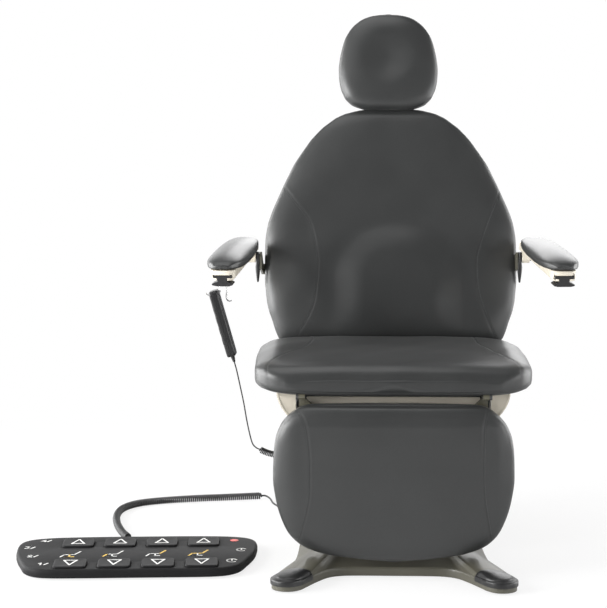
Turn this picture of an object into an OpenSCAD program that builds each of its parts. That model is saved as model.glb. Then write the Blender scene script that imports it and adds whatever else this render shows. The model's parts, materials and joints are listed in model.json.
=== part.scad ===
// Powered procedure chair on a telescoping column, with a foot control and a hand pendant.
// Millimetres. The chair faces -Y, +X is to the viewer's right, +Z is up.
// The origin is on the floor, at the centre of the four anchor holes of the base.

/* [Seat] */
// Height of the underside of the seat cushion above the floor, lowest position
seat_z = 398; // [390:1:410]
// Half the width of the seat cushion at its widest
seat_half_w = 297; // [285:1:315]
// Length of the seat cushion, front to back
seat_len = 483; // [470:1:500]
// Place of the front of the seat cushion
seat_front_y = -345; // [-355:1:-338]
// Thickness of the seat cushion at its front crest
seat_t = 70; // [60:1:80]

/* [Back] */
// Lean of the upright back from the vertical, in degrees
back_lean = 13.5; // [8:0.5:18]
// Half the width of the back cushion at its widest
back_half_w = 303; // [290:1:320]
// Length of the back cushion along its lean
back_len = 566; // [540:1:590]
// Thickness of the back cushion
back_t = 75; // [60:1:85]
// Depth of the hollow cover behind the back
back_cover_t = 46; // [42:1:55]

/* [Headrest] */
// Half the width of the headrest cushion
head_half_w = 121; // [100:1:140]
// Height of the headrest cushion along its lean
head_len = 237; // [215:1:250]
// Thickness of the headrest cushion
head_t = 60; // [50:1:68]
// Radius of the dimple in the headrest
dimple_r = 62; // [45:1:75]
// Depth of the dimple
dimple_depth = 9; // [4:1:14]

/* [Leg rest] */
// Half the width of the leg rest cushion at its widest
leg_half_w = 255; // [240:1:265]
// Height of the leg rest cushion
leg_len = 345; // [320:1:350]
// Thickness of the leg rest cushion
leg_t = 63; // [56:1:70]

/* [Armrests] */
// Length of an armrest from its pivot to its front
arm_len = 366; // [330:1:390]
// Width of the armrest body
arm_w = 56; // [54:1:58]
// Height of the armrest body with its accessory slot
arm_h = 22; // [20:1:26]
// Width of the armrest pad
arm_pad_w = 68; // [62:1:70]
// Thickness of the armrest pad
arm_pad_t = 16; // [12:1:20]
// Fall of the armrest towards its front, in degrees
arm_slope = 6.9; // [3:0.1:9]
// Outward turn of the armrest towards its front, in degrees
arm_splay = 5; // [2:0.5:7]
// Width of the mouth of the accessory slot
slot_mouth_w = 24; // [20:0.5:28]
// Width of the undercut of the accessory slot
slot_under_w = 44; // [40:0.5:46]

/* [Lift column] */
// Place of the column centre
column_y = 40; // [34:1:46]
// Width of the fixed column tube
column_w = 200; // [190:1:206]
// Depth of the fixed column tube
column_d = 160; // [150:1:162]
// Wall of the column tubes
column_wall = 6; // [4:0.5:8]
// Length of each column tube
column_h = 240; // [232:1:244]
// Gap between one column tube and the next
column_gap = 4; // [3:0.5:5]
// Half the width of the lowest shroud
shroud_half = 136; // [134:1:140]
// Wall of the shrouds
shroud_wall = 3; // [2:0.5:4]
// Gap between one shroud and the next
shroud_gap = 4; // [3:0.5:5]
// Radius of the lift rod
lift_rod_r = 12; // [10:0.5:14]

/* [Base] */
// Half the width of the base over its feet
base_half_w = 254; // [245:1:265]
// Half the length of the base over its feet
base_half_len = 413; // [405:1:425]
// Height of the rim of the base cover
base_rim_h = 22; // [20:1:26]
// Height of the base cover where it meets the shroud
base_top_z = 60; // [56:1:62]
// Radius of each floor anchor hole
anchor_r = 5.5; // [4:0.5:7]
// Spacing of the floor anchors across the chair
anchor_dx = 370; // [360:1:380]
// Spacing of the floor anchors along the chair
anchor_dy = 580; // [570:1:590]

/* [Foot control] */
// Length of the foot control
pedal_len = 538; // [525:1:550]
// Depth of the foot control
pedal_w = 292; // [284:1:300]
// Height of the top of the foot control
pedal_h = 23; // [20:1:28]
// Turn of the foot control on the floor, in degrees
pedal_turn = 4; // [0:1:8]
// Width of one foot button
button_w = 70; // [62:1:76]
// Depth of one foot button
button_d = 56; // [50:1:60]
// Height of a button above the housing
button_rise = 7; // [5:0.5:9]
// Spacing of the buttons along the foot control
button_dx = 94; // [90:0.5:97]
// Spacing of the two rows of buttons
button_dy = 177; // [165:1:180]

/* [Hand pendant] */
// Height of the pendant
pendant_h = 150; // [135:1:160]
// Width of the pendant
pendant_w = 58; // [45:1:65]
// Thickness of the pendant
pendant_t = 19; // [15:1:24]
// Swing of the hanging pendant from the vertical, in degrees
pendant_swing = 16; // [12:1:20]

/* [Cords] */
// Diameter of the foot control's curly cord over its curls
pedal_coil_od = 18; // [15:0.5:20]
// Number of curls in the foot control's cord
pedal_curls = 72; // [60:1:78]
// Diameter of the foot control's cord
pedal_wire_d = 4; // [3:0.1:4.4]
// Diameter of the pendant's curly cord over its curls
pendant_coil_od = 15; // [12:0.5:17]
// Number of curls in the pendant's cord
pendant_curls = 22; // [16:1:22]
// Diameter of the pendant's cord
pendant_wire_d = 3; // [2:0.1:3.4]

/* [Clearances] */
// Radial running clearance of every pin and rod
run_gap = 0.05; // [0.02:0.01:0.1]
// Gap between seated pieces
seat_gap = 0.3; // [0.2:0.05:0.5]
// Gap beside pieces that move past each other
side_gap = 1; // [0.8:0.1:1.5]

/* [Hidden] */
$fn = 48;

// Colours
vinyl = [0.29, 0.30, 0.30];
cream = [0.86, 0.82, 0.73];
olive = [0.37, 0.36, 0.31];
olive_dark = [0.30, 0.29, 0.23];
near_black = [0.16, 0.16, 0.16];
steel = [0.62, 0.63, 0.64];
dark_steel = [0.24, 0.24, 0.25];

// Overrun of every cut
over = 1;
// Roundness of a box-like pad and of its back, as powers
pad_power = 4;
pad_back_power = 8;
// Depth of a sewn channel
seam_depth = 3.5;
// Half the width of a sewn channel, as a share of the pad's half width
seam_half_share = 0.035;
// Places across a pad's face, as shares: inside the seam, then from the seam to the edge
inner_shares = [0, 0.34, 0.68];
outer_shares = [0.55, 0.86];

// Seat frame: rails of rectangular tube under a pressed pan
rail_in = 150;
rail_w = 25;
rail_h = 40;
pan_t = 3;
pan_half_w = 235;
pan_back_inset = 50;
cross_w = 25;
cross_h = 20;
rail_top = seat_z - pan_t;
seat_back_y = seat_front_y + seat_len;
rail_front_inset = 65;
rail_front_y = seat_front_y + rail_front_inset;
front_cross_y = rail_front_y;
rail_back_out = 6;
rail_back_y = seat_back_y + rail_back_out;
pin_r = 8;
lug_r = 14;
lug_t = 12;

// Back hinge and recline drive
back_pivot_inset = 8;
back_y = seat_back_y - back_pivot_inset;
back_z = seat_z;
back_range = 75;
back_drop = 45;
back_stroke_half = 35;
back_drive_x = 45;
back_face = 47;
back_start = 52;
back_rear = back_t - back_face;
// Leg hinge and leg drive
leg_pivot_inset = 11;
leg_pivot_drop = 7;
leg_y = seat_front_y + leg_pivot_inset;
leg_z = seat_z - leg_pivot_drop;
leg_range = 85;
leg_drop = 66;
leg_stroke_half = 62;
leg_drive_x = -45;
leg_pin_r = 4;
leg_lug_r = 6.5;
leg_back_gap = 29;
leg_top_gap = 6;
leg_back_y = leg_y + leg_back_gap;
leg_top_z = leg_z - leg_top_gap;
leg_bracket_in = 187.5;
leg_bracket_t = 13;
leg_lug_gap = 0.5;
leg_lug_in = leg_bracket_in + leg_bracket_t + leg_lug_gap;
leg_lug_t = 5.5;
leg_frame_t = 12;
leg_rail_in = 158;
leg_rail_w = 32;
// Tilt hinge and tilt drive
tilt_back_inset = 18;
tilt_y = seat_back_y - tilt_back_inset;
tilt_below = 86;
tilt_z = seat_z - tilt_below;
tilt_range = 12;
tilt_lug_in = 125;
tilt_lug_t = 12;
tilt_drive_out = 27;
tilt_drive_y = column_y - column_d / 2 - tilt_drive_out;
tilt_drop = 68;
tilt_pin_z = seat_z - tilt_drop;
tilt_arm = tilt_y - tilt_drive_y;
tilt_rise = tilt_pin_z - tilt_z;
tilt_travel = (tilt_arm * sin(tilt_range) + tilt_rise) / cos(tilt_range) - tilt_rise;
// All three drives
crank_t = 5;
crank_gap = 9;
drive_pin_r = 5;
drive_rod_r = 8;
drive_eye_r = 11;
drive_eye_w = 16;
drive_body_r = 20;
drive_slack = 0.4;
slot_steps = 24;
track_turn = 15;
track_keep = 0.02;

// Lift head and the stack of tubes under it
head_plate_t = 8;
head_plate_below = 28;
head_plate_z = tilt_z - head_plate_below;
plate_z = 12;
frame_t = 8;
column_z = plate_z + frame_t;
stage_step = 8;
head_half_x = 140;
head_half_d = 130;
head_front_y = column_y - head_half_d;
head_back_y = column_y + head_half_d;
guide_h = 30;
guide_gap = 0.3;
guide_share = 0.4;

// Armrests
arm_rear = 14;
arm_pivot_along = 256;
arm_pivot_out = 37;
arm_pin_r = 6;
arm_boss_r = 14;
bracket_in = back_half_w + 2;
bracket_t = 5;
lever_w = 8;
lever_drop = 62;
boss_w = 18;
lever_in = bracket_in + bracket_t + side_gap;
boss_in = lever_in + lever_w + side_gap;
arm_inset = 20;
arm_x = boss_in + arm_inset;
arm_z0 = 14;
slot_mouth_h = 5;
slot_under_h = 7;
clamp_y = -350;
clamp_len = 30;
clamp_w = 48;
clamp_drop = 12.5;
arm_pivot_y = back_y + arm_pivot_along * sin(back_lean) - arm_pivot_out * cos(back_lean);
arm_pivot_z = back_z + arm_pivot_along * cos(back_lean) + arm_pivot_out * sin(back_lean);

// Base: its middle lies behind the middle of the anchors' pattern
base_mid_y = -40;
base_skirt_z = 3;
base_wall = 4;
base_neck = shroud_half - 2 * side_gap;
shroud_corner = 14;
frame_inset = 18;
anchor_boss_r = 14;
cap_side_inset = 51;
cap_x = base_half_w - cap_side_inset;
cap_inset = 1;
cap_r = 61;
cap_z = 14;
cap_proud = 3;
glide_side_inset = 39;
glide_end_inset = 38;
glide_r = 20;
glide_h = 6;
glide_stem_r = 5;
glide_boss_r = 14;
glide_boss_h = 4;
glide_proud = 2;
box_half_w = 100;
box_d = 100;
box_h = 18;
box_gap = 19;
inlet_half = 25;
inlet_deep = frame_inset - seat_gap;
inlet_z = 4.5;
inlet_h = 15;
socket_share = 0.831;
socket_deep = 17;
socket_r = 7;
// Strain reliefs of the cords
relief_len = 14;
relief_tip_r = 3;
relief_root_r = 5;

// Column and lift
flange_t = 8;
flange_w = 15;
lift_step = 6;
lift_tube_h = 238;
lift_floor = 8;
lift_rod_z = column_z + 2 * (lift_floor + side_gap);
shroud_low_h = 242;
shroud_mid_below = 16;
shroud_mid_top = head_plate_z - shroud_mid_below;
tilt_foot = 22;
tilt_lug_r = 12;
tilt_body_len = 134;
tilt_body_z = head_plate_z - tilt_body_len;
tilt_body_r = 18;
tilt_flange_r = 26;
tilt_flange_t = 6;
tilt_rod_r = 7;
tilt_rod_len = 150;
tilt_eye_r = 10;
tilt_plate_w = 18;
drive_floor = 10;
saddle_half = 8;
leg_body_len = 180;
back_body_len = 205;
hinge_pin_in = 118;
hinge_tube_half = 148;
front_cross_w = 45;

// Cover under the seat
skirt_wall = 4;
skirt_half_w = 250;
skirt_core = 170;
skirt_below = 2;
skirt_top_z = seat_z - skirt_below;
skirt_h = 92;
skirt_power = 1.7;
skirt_front_out = 10;
skirt_front_y = rail_front_y - skirt_front_out;
skirt_back_out = 12;
skirt_back_y = seat_back_y + skirt_back_out;
skirt_ledge = 20;
ear_in = leg_lug_in + leg_lug_t + 1.5 * side_gap;
fascia_half = leg_bracket_in - 2.5 * side_gap;
fascia_below = 14;
fascia_top = seat_z - fascia_below;
fascia_h = 28;
boss_len = 20;
socket_half = 9;

// Leg frame, with the outline of its crank as places from the hinge
leg_rail_len = 320;
leg_rail_low = leg_z - leg_rail_len;
leg_bracket_h = 36;
leg_cross_drop = [90, 282];
leg_cross_h = 39;
leg_eye_room = 1.25;
leg_foot_z = leg_z - leg_bracket_h + side_gap;
leg_crank_shares = [[0.44, -0.545], [0.79, -0.56], [1.14, -0.85], [1.14, -1.18], [0.91, -1.27], [0.44, -1.27]];
leg_crank_shape = leg_crank_shares * leg_drop;

// Back frame
back_rail_in = 120;
back_rail_deep = 22;
back_rail_y = back_rear + back_rail_deep;
back_rail_z0 = 60;
back_rail_z1 = 500;
back_foot_z = 100;
back_cross_z = [130, 480];
back_cross_inset = 4;
back_crank_shares = [[-0.31, 0], [-0.16, -0.27], [0.36, -1.2], [0.71, -1.29], [1, -1.22], [1.04, -0.78],
    [0.53, -0.18], [0.31, 0.13], [0, 0.31]];
back_crank_shape = back_crank_shares * back_drop;
post_half = 30;
post_t = 8;
post_gap = 12;
post_y = back_rear + post_gap;
post_z0 = 340;
post_wall = 6;
guide_z = 360;
cover_wall = 3.5;
cover_boss_z = [170, 440];

// Armrest brackets
bracket_bar_t = 8;
bracket_bar_gap = 8;
bracket_bar_y = back_rear + bracket_bar_gap;
bracket_bar_h = 25;
bracket_bar_drop = 30;
bracket_bar_z = arm_pivot_along - bracket_bar_drop;
bracket_ring_r = 12;
pin_head_r = 9;
pin_head_t = 3;
lever_hub_r = 12;
lever_tip = 7;

// Headrest
head_gap = 5;
head_z0 = back_start + back_len + head_gap;
head_face = 54;
head_rear = head_t - head_face;
head_back_t = 8;
head_back_half = 55;
head_back_r = 24;
head_pivot_gap = 24;
head_pivot_y = head_rear + head_pivot_gap;
head_pivot_up = 112;
head_pivot_z = head_z0 + head_pivot_up;
head_lug_r = 11;
head_lug_half = 12;
head_ear_r = 12;
head_ear_t = 6;
dimple_up = 146;
dimple_z = head_z0 + dimple_up;

// Armrest, its clamp, the hook and the pendant
arm_bevel = 5;
slot_start = 60;
clamp_shares = [[0.30, -1], [0.46, -0.86], [0.5, -0.64], [0.44, -0.45], [0.25, -0.12]];
hook_r = 1.5;
hook_eye = 9;
hook_eye_r = 3.5;
hook_saddle = [28, 12, 2];
hook_leg_x = 7;
pendant_out = 22;
pendant_drop = 12;
pendant_corner = 9;

// Foot control
pedal_x = -565;
pedal_y = -217;
pedal_foot = 4;
pedal_wall = 3;
pedal_rim = 5;
pedal_bevel = 3;
pedal_pad_r = 8;
pedal_pad_share = 0.72;
pedal_relief_x = -27;
pedal_relief_len = 12;
button_shift_x = 7;
button_shift_y = 18;
button_corner = 8;
button_flange = 3;
button_travel = 2.5;

// Route of the foot control's cord, on the floor: out of the relief, coil, then to the base
pedal_lead_a = [[-603, -60.3, 13], [-603, -55, 13], [-605, -46, 11], [-608, -38, 10]];
pedal_coil_route = [[-608, -38, 10], [-632, 20, 10], [-656, 104, 10], [-669, 188, 10],
    [-665, 262, 10], [-636, 318, 10], [-582, 352, 10], [-500, 380, 10], [-410, 400, 10],
    [-322, 420, 10]];
pedal_lead_b = [[-322, 420, 10], [-312, 420, 9.5], [-300, 404, 6], [-290, 365, 3], [-278, 333, 3],
    [-268, 295, 3], [-262, 255, 4], [-254, 222, 9], [-244, 206, 13], [-234, 201, 14],
    [-226, 200, 14]];
// Route of the pendant's cord, hanging, then curly behind the leg rest to its socket
pendant_lead_route = [[-347, -192.5, 445], [-343.5, -192.5, 433], [-340, -192, 418], [-332, -191, 380],
    [-326, -190, 350], [-321, -190, 320], [-315, -190, 290], [-308, -190, 264], [-300, -190, 254],
    [-292, -190, 250]];
pendant_coil_route = [[-292, -190, 250], [-272, -188, 241], [-244, -184, 235],
    [-216, -180, 234], [-190, -177, 240], [-168, -175, 256], [-160, -175, 280]];
pendant_tail_route = [[-160, -175, 280], [-160, -175, 290], [-160, -175, 300]];

// Mirror image for the other side
module both() {
    children();
    mirror([1, 0, 0]) children();
}

// Frame of the upright back: local +Z runs up its lean, local -Y is its front
module in_back() translate([0, back_y, back_z]) rotate([-back_lean, 0, 0]) children();

// Rectangle with round corners, centred
function round_rect(hw, hd, r, n = 6) = [for (q = [0:3]) for (i = [0:n])
    let (a = q * 90 + i * 90 / n, sx = q == 0 || q == 3 ? 1 : -1, sy = q < 2 ? 1 : -1)
    [sx * (hw - r) + r * cos(a), sy * (hd - r) + r * sin(a)]];

// Closed skin through rings of equal length, with a fan over each end
module loft(rows) skin(rows, [sum(rows[0]), sum(rows[len(rows) - 1])] / len(rows[0]));

// The same skin with the two end points given, facing outward whichever way the rings turn
module skin(rows, ends) {
    n = len(rows[0]);
    m = len(rows);
    turn = sum([for (i = [0:n - 1]) cross(rows[0][i], rows[0][(i + 1) % n])]) * (sum(rows[1]) - sum(rows[0]));
    faces = concat([for (k = [0:m - 2]) for (i = [0:n - 1]) let (j = (i + 1) % n)
            each [[k * n + i, k * n + j, (k + 1) * n + i],
                [k * n + j, (k + 1) * n + j, (k + 1) * n + i]]],
        [for (i = [0:n - 1]) [m * n, (i + 1) % n, i]],
        [for (i = [0:n - 1]) [m * n + 1, (m - 1) * n + i, (m - 1) * n + (i + 1) % n]]);
    polyhedron(points = concat([for (r = rows) for (p = r) p], ends),
        faces = turn > 0 ? [for (f = faces) [f[2], f[1], f[0]]] : faces);
}

function sum(v, i = 0) = i == len(v) - 1 ? v[i] : v[i] + sum(v, i + 1);
function dome(u, p) = pow(max(0, 1 - pow(abs(u), p)), 1 / p);

// One ring of a padded form: its face from left to right, then its flatter back.
// seam is the share of the half width at which the sewn channel runs, 0 for none
function pad_ring(half_w, low, high, seam, depth = seam_depth) =
    let (mid = (low + high) / 2,
        s = seam > 0 ? seam : 0.7,
        half = concat([for (k = inner_shares) k * s], [s - seam_half_share, s, s + seam_half_share],
            [for (k = outer_shares) s + k * (1 - s)], [1]),
        n = len(half),
        face = concat([for (i = [n - 1:-1:1]) -half[i]], half))
    concat([for (u = face) [u * half_w, mid + (high - mid) * dome(u, pad_power)
            - (seam > 0 && abs(u) == s ? depth : 0)]],
        [for (u = [0.93, 0, -0.93]) [u * half_w, mid - (mid - low) * dome(u, pad_back_power)]]);

// Tables of shares: place along the form, half width, thickness, seam, swell of the face
leg_shares = [[0, 0.10, 0.25, 0.90, 0], [0.014, 0.30, 0.45, 0.90, 0], [0.05, 0.61, 0.75, 0.90, 0],
    [0.113, 0.796, 0.93, 0.90, 0], [0.206, 0.898, 1, 0.84, 0], [0.394, 0.98, 1, 0.76, 0.3],
    [0.516, 1, 1, 0.74, 0.5], [0.64, 0.996, 1, 0.73, 0.6], [0.762, 0.973, 1, 0.74, 0.8],
    [0.855, 0.933, 1, 0.78, 0.8], [0.916, 0.871, 0.97, 0.84, 0.5], [0.959, 0.784, 0.85, 0.90, 0.2],
    [0.985, 0.745, 0.62, 0.92, 0], [1, 0.70, 0.30, 0.92, 0]];
back_shares = [[0, 0.80, 0.25, 0.90, 0], [0.012, 0.85, 0.6, 0.88, 0], [0.034, 0.888, 0.85, 0.86, 0.2],
    [0.087, 0.921, 1, 0.84, 0.5], [0.171, 0.967, 1, 0.82, 0.85], [0.259, 0.987, 1, 0.80, 1],
    [0.345, 1, 1, 0.80, 1], [0.431, 0.993, 1, 0.80, 0.85], [0.517, 0.947, 1, 0.80, 0.5],
    [0.604, 0.884, 1, 0.82, 0.2], [0.691, 0.792, 1, 0.85, 0], [0.779, 0.686, 0.98, 0.90, 0],
    [0.845, 0.594, 0.95, 0.92, 0], [0.912, 0.455, 0.86, 0.92, 0], [0.954, 0.287, 0.72, 0.92, 0],
    [0.985, 0.16, 0.45, 0.92, 0], [1, 0.06, 0.2, 0.92, 0]];
head_shares = [[0, 0.30, 0.2], [0.014, 0.56, 0.45], [0.086, 0.826, 0.85], [0.19, 0.959, 1],
    [0.35, 1, 1], [0.46, 0.995, 1], [0.56, 0.955, 1], [0.66, 0.909, 1], [0.74, 0.86, 1],
    [0.82, 0.793, 0.95], [0.928, 0.612, 0.8], [0.98, 0.273, 0.45], [1, 0.1, 0.2]];
// Seat: place along, half width, underside and top as shares of the thickness, seam
seat_shares = [[0, 0.66, 0.36, 0.62, 0.92], [0.012, 0.79, 0.16, 0.83, 0.92],
    [0.04, 0.88, 0.02, 0.96, 0.92], [0.093, 0.955, 0, 1.02, 0.88], [0.176, 1, 0, 1, 0.82],
    [0.30, 0.995, 0, 0.96, 0.76], [0.45, 0.98, 0, 0.93, 0.72], [0.60, 0.96, 0, 0.90, 0.72],
    [0.75, 0.94, 0, 0.88, 0.75], [0.90, 0.90, 0, 0.85, 0.82], [0.905, 0.895, 0.40, 0.85, 0.83],
    [0.94, 0.87, 0.40, 0.78, 0.86], [0.975, 0.82, 0.43, 0.70, 0.90], [1, 0.74, 0.50, 0.60, 0.92]];

leg_swell = 5;
back_swell = 9;

// Points of a round curve through hand-chosen points
function curve(p, n) = let (m = len(p)) concat([for (i = [0:m - 2]) for (k = [0:n - 1])
    let (t = k / n, a = p[max(i - 1, 0)], b = p[i], c = p[i + 1], d = p[min(i + 2, m - 1)])
    (2 * b + (c - a) * t + (2 * a - 5 * b + 4 * c - d) * t * t
        + (3 * b - a - 3 * c + d) * t * t * t) / 2], [p[m - 1]]);
function unit(v) = v / norm(v);
function along(p, i) = unit(p[min(i + 1, len(p) - 1)] - p[max(i - 1, 0)]);
function lengths(p) = [for (i = 0, s = 0; i < len(p); s = s + (i + 1 < len(p) ? norm(p[i + 1] - p[i]) : 0),
    i = i + 1) s];

// Solid tube of a given radius through a curve, ref is a direction that it never takes
module tube(p, r, sides, ref) {
    rows = [for (i = [0:len(p) - 1]) let (t = along(p, i), n = unit(cross(ref, t)), b = cross(t, n))
        [for (k = [0:sides - 1]) let (a = -k * 360 / sides) p[i] + r * (cos(a) * n + sin(a) * b)]];
    skin(rows, [p[0], p[len(p) - 1]]);
}

// Place at a length along a curve, and the step of a helix about it
function at_len(p, s, d) = [for (c = [0:2]) lookup(d, [for (i = [0:len(p) - 1]) [s[i], p[i][c]]])];
curl_steps = 6;
curl_sides = 5;
cord_joint = 0.5; // gap between a cord's plain and curly lengths
function helix(route, curls, r_coil, wire, ref) =
    let (p = curve(route, 6), s = lengths(p), total = s[len(s) - 1], n = curls * curl_steps,
        lead = wire * 1.3, run = total - 2 * lead)
    concat([at_len(p, s, cord_joint)], [for (j = [0:n])
        let (d = lead + run * j / n, c = at_len(p, s, d),
            t = unit(at_len(p, s, min(d + wire, total)) - at_len(p, s, max(d - wire, 0))),
            u = unit(cross(ref, t)), v = cross(t, u), a = j * 360 / curl_steps,
            ramp = min(1, j / curl_steps * 2, (n - j) / curl_steps * 2))
        c + r_coil * ramp * (cos(a) * u + sin(a) * v)], [at_len(p, s, total - cord_joint)]);
// Least gap of a helix to itself, measured from each point to the points of the next two curls
function self_gap(h, wire) = min([for (j = [1:len(h) - 2]) for (k = [j + curl_steps / 2 + 1:
    min(j + 2 * curl_steps, len(h) - 2)]) norm(h[j] - h[k])]) - wire;

module curly(route, curls, od, wire, ref, label) {
    h = helix(route, curls, (od - wire) / 2, wire, ref);
    echo(str(label, " least gap to itself, mm: "), self_gap(h, wire));
    tube(h, wire / 2, curl_sides, ref);
}

// Slot that a straight-moving pin follows in a plate that turns about the origin.
// start and step give the pin's place along Y, z0 its height; the plate turns by angle
function slot_point(start, travel, z0, angle, t) =
    let (y = start + travel * t, a = angle * t) [y * cos(a) - z0 * sin(a), y * sin(a) + z0 * cos(a)];
module cam_slot(start, travel, z0, angle)
    track([for (i = [0:slot_steps]) slot_point(start, travel, z0, angle, i / slot_steps)]);
// Slot along a line of points, with round ends; where the line turns sharply its inner edge is a corner
module track(c) {
    w = drive_pin_r + drive_slack;
    last = len(c) - 1;
    side = [for (i = [0:last]) let (t = along(c, i)) w * [-t[1], t[0]]];
    arc = [track_turn:track_turn:180 - track_turn];
    rim = concat([for (i = [0:last]) c[i] + side[i]],
        [for (a = arc) c[last] + side[last] * cos(a) + w * along(c, last) * sin(a)],
        [for (i = [last:-1:0]) c[i] - side[i]],
        [for (a = arc) c[0] - side[0] * cos(a) - w * along(c, 0) * sin(a)]);
    polygon([for (q = rim) if (min([for (p = c) norm(q - p)]) > w - track_keep) q]);
}

// Plate in the YZ plane from x0, t thick; its polygon is in [y, z]
module yz_plate(x0, t) translate([x0, 0, 0]) rotate([90, 0, 90]) linear_extrude(t) children();
// Round bar along X
module x_bar(x0, x1, r) translate([x0, 0, 0]) rotate([0, 90, 0]) cylinder(r = r, h = x1 - x0);
module y_bar(y0, y1, r) translate([0, y0, 0]) rotate([-90, 0, 0]) cylinder(r = r, h = y1 - y0);
module block(x0, x1, y0, y1, z0, z1) translate([x0, y0, z0]) cube([x1 - x0, y1 - y0, z1 - z0]);

// Outline of the base: shares of the half width and half length, front right quarter
base_shares = [[0, 0.690], [0.236, 0.690], [0.413, 0.697], [0.531, 0.731], [0.622, 0.809],
    [0.709, 0.908], [0.756, 0.961], [0.819, 0.995], [0.898, 1], [0.969, 0.976], [1, 0.932],
    [0.984, 0.872], [0.937, 0.804], [0.874, 0.714], [0.835, 0.605], [0.815, 0.460],
    [0.807, 0.266], [0.807, 0]];
quarter_n = len(base_shares);
base_round_shares = concat(
    [for (p = base_shares) [p[0], -p[1]]],
    [for (i = [quarter_n - 2:-1:0]) base_shares[i]],
    [for (i = [1:quarter_n - 1]) [-base_shares[i][0], base_shares[i][1]]],
    [for (i = [quarter_n - 2:-1:1]) [-base_shares[i][0], -base_shares[i][1]]]);
// The same outline in millimetres, moved outward along its own normals
function grown(ring, grow) = let (n = len(ring)) [for (i = [0:n - 1])
    let (d = unit(ring[(i + 1) % n] - ring[(i + n - 1) % n])) ring[i] + grow * [d[1], -d[0]]];
function base_outline(grow) = grown([for (p = base_round_shares)
    [p[0] * base_half_w, base_mid_y + p[1] * base_half_len]], grow);
// Point on the square about the column that lies in line with an outline point
function neck_point(p, half) = let (d = [p[0], p[1] - column_y], k = max(abs(d[0]), abs(d[1])) / half)
    [d[0] / k, column_y + d[1] / k];
base_row_shares = [0, 0.04, 0.14, 0.32, 0.6, 1];
base_rise_power = 1.6;

// Ring of the cover at a share of the way from the rim to the column
function base_ring(grow, t) = [for (p = base_outline(grow)) let (q = neck_point(p, base_neck))
    [p[0] + (q[0] - p[0]) * t, p[1] + (q[1] - p[1]) * t,
        base_rim_h + grow + (base_top_z - base_rim_h) * (1 - pow(1 - t, base_rise_power))]];
function base_foot_ring(grow, z) = [for (p = base_outline(grow)) [p[0], p[1], z]];

// Solid form under the cover's skin, grown outward and upward
module base_form(grow, bottom_z) skin(concat([base_foot_ring(grow, bottom_z)],
    [for (t = base_row_shares) base_ring(grow, t)]),
    [[0, column_y, bottom_z], [0, column_y, base_top_z + grow]]);

module at_feet() for (sx = [-1, 1]) for (sy = [-1, 1])
    translate([sx * cap_x, base_mid_y + sy * (base_half_len - cap_inset), 0]) children();
module at_anchors() for (sx = [-1, 1]) for (sy = [-1, 1])
    translate([sx * anchor_dx / 2, sy * anchor_dy / 2, 0]) children();
module at_glides() for (sx = [-1, 1]) for (sy = [-1, 1])
    translate([sx * (base_half_w - glide_side_inset), base_mid_y + sy * (base_half_len - glide_end_inset), 0])
        children();

module base_frame() color(olive) difference() {
    union() {
        translate([0, 0, plate_z]) linear_extrude(frame_t) polygon(base_outline(-frame_inset));
        at_anchors() cylinder(r = anchor_boss_r, h = plate_z + over);
        at_glides() translate([0, 0, plate_z - glide_boss_h])
            cylinder(r = glide_boss_r, h = glide_boss_h + over);
    }
    at_anchors() translate([0, 0, -over]) cylinder(r = anchor_r, h = column_z + 2 * over);
    at_glides() translate([0, 0, -over]) cylinder(r = glide_stem_r + run_gap, h = column_z + 2 * over);
}

module base_cover() color(olive) difference() {
    base_form(0, base_skirt_z);
    base_form(-base_wall, -over);
    translate([0, 0, -over]) linear_extrude(base_top_z + 2 * over) square_about_column(shroud_half + seat_gap);
    at_feet() translate([0, 0, cap_z - seat_gap]) cylinder(r = cap_r + seat_gap, h = base_top_z);
    socket_body(seat_gap);
    inlet_body(seat_gap);
}
module square_about_column(half) translate([0, column_y])
    polygon(round_rect(half, half, shroud_corner));

module foot_caps() color(near_black) difference() {
    intersection() {
        base_form(cap_proud, cap_z);
        at_feet() cylinder(r = cap_r, h = base_top_z);
    }
    base_form(-base_wall, -over);
}

module glides() color(near_black) at_glides() {
    cylinder(r = glide_r, h = glide_h);
    cylinder(r = glide_stem_r, h = column_z + glide_proud);
}

// Column: three tubes one inside another, with slide strips between them
module column_tube(w, d, z0) translate([0, column_y, z0]) linear_extrude(column_h) difference() {
    square([w, d], center = true);
    square([w - 2 * column_wall, d - 2 * column_wall], center = true);
}
stage_shrink = 2 * (column_wall + column_gap);
module slide_strips(w, d, z0) {
    t = column_gap - guide_gap;
    for (s = [-1, 1]) {
        translate([s * (w + t) / 2, column_y, z0 + guide_h / 2])
            cube([t, d * guide_share, guide_h], center = true);
        translate([0, column_y + s * (d + t) / 2, z0 + guide_h / 2])
            cube([w * guide_share, t, guide_h], center = true);
    }
}
module column_outer() color(steel) {
    column_tube(column_w, column_d, column_z);
    translate([0, column_y, column_z]) linear_extrude(flange_t) difference() {
        square([column_w + 2 * flange_w, column_d + 2 * flange_w], center = true);
        square([column_w - over, column_d - over], center = true);
    }
}
module column_mid() color(steel) {
    column_tube(column_w - stage_shrink, column_d - stage_shrink, column_z + stage_step);
    slide_strips(column_w - stage_shrink, column_d - stage_shrink, column_z + stage_step);
}
module column_inner() color(steel) {
    column_tube(column_w - 2 * stage_shrink, column_d - 2 * stage_shrink, head_plate_z - column_h);
    slide_strips(column_w - 2 * stage_shrink, column_d - 2 * stage_shrink, head_plate_z - column_h);
}
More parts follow.
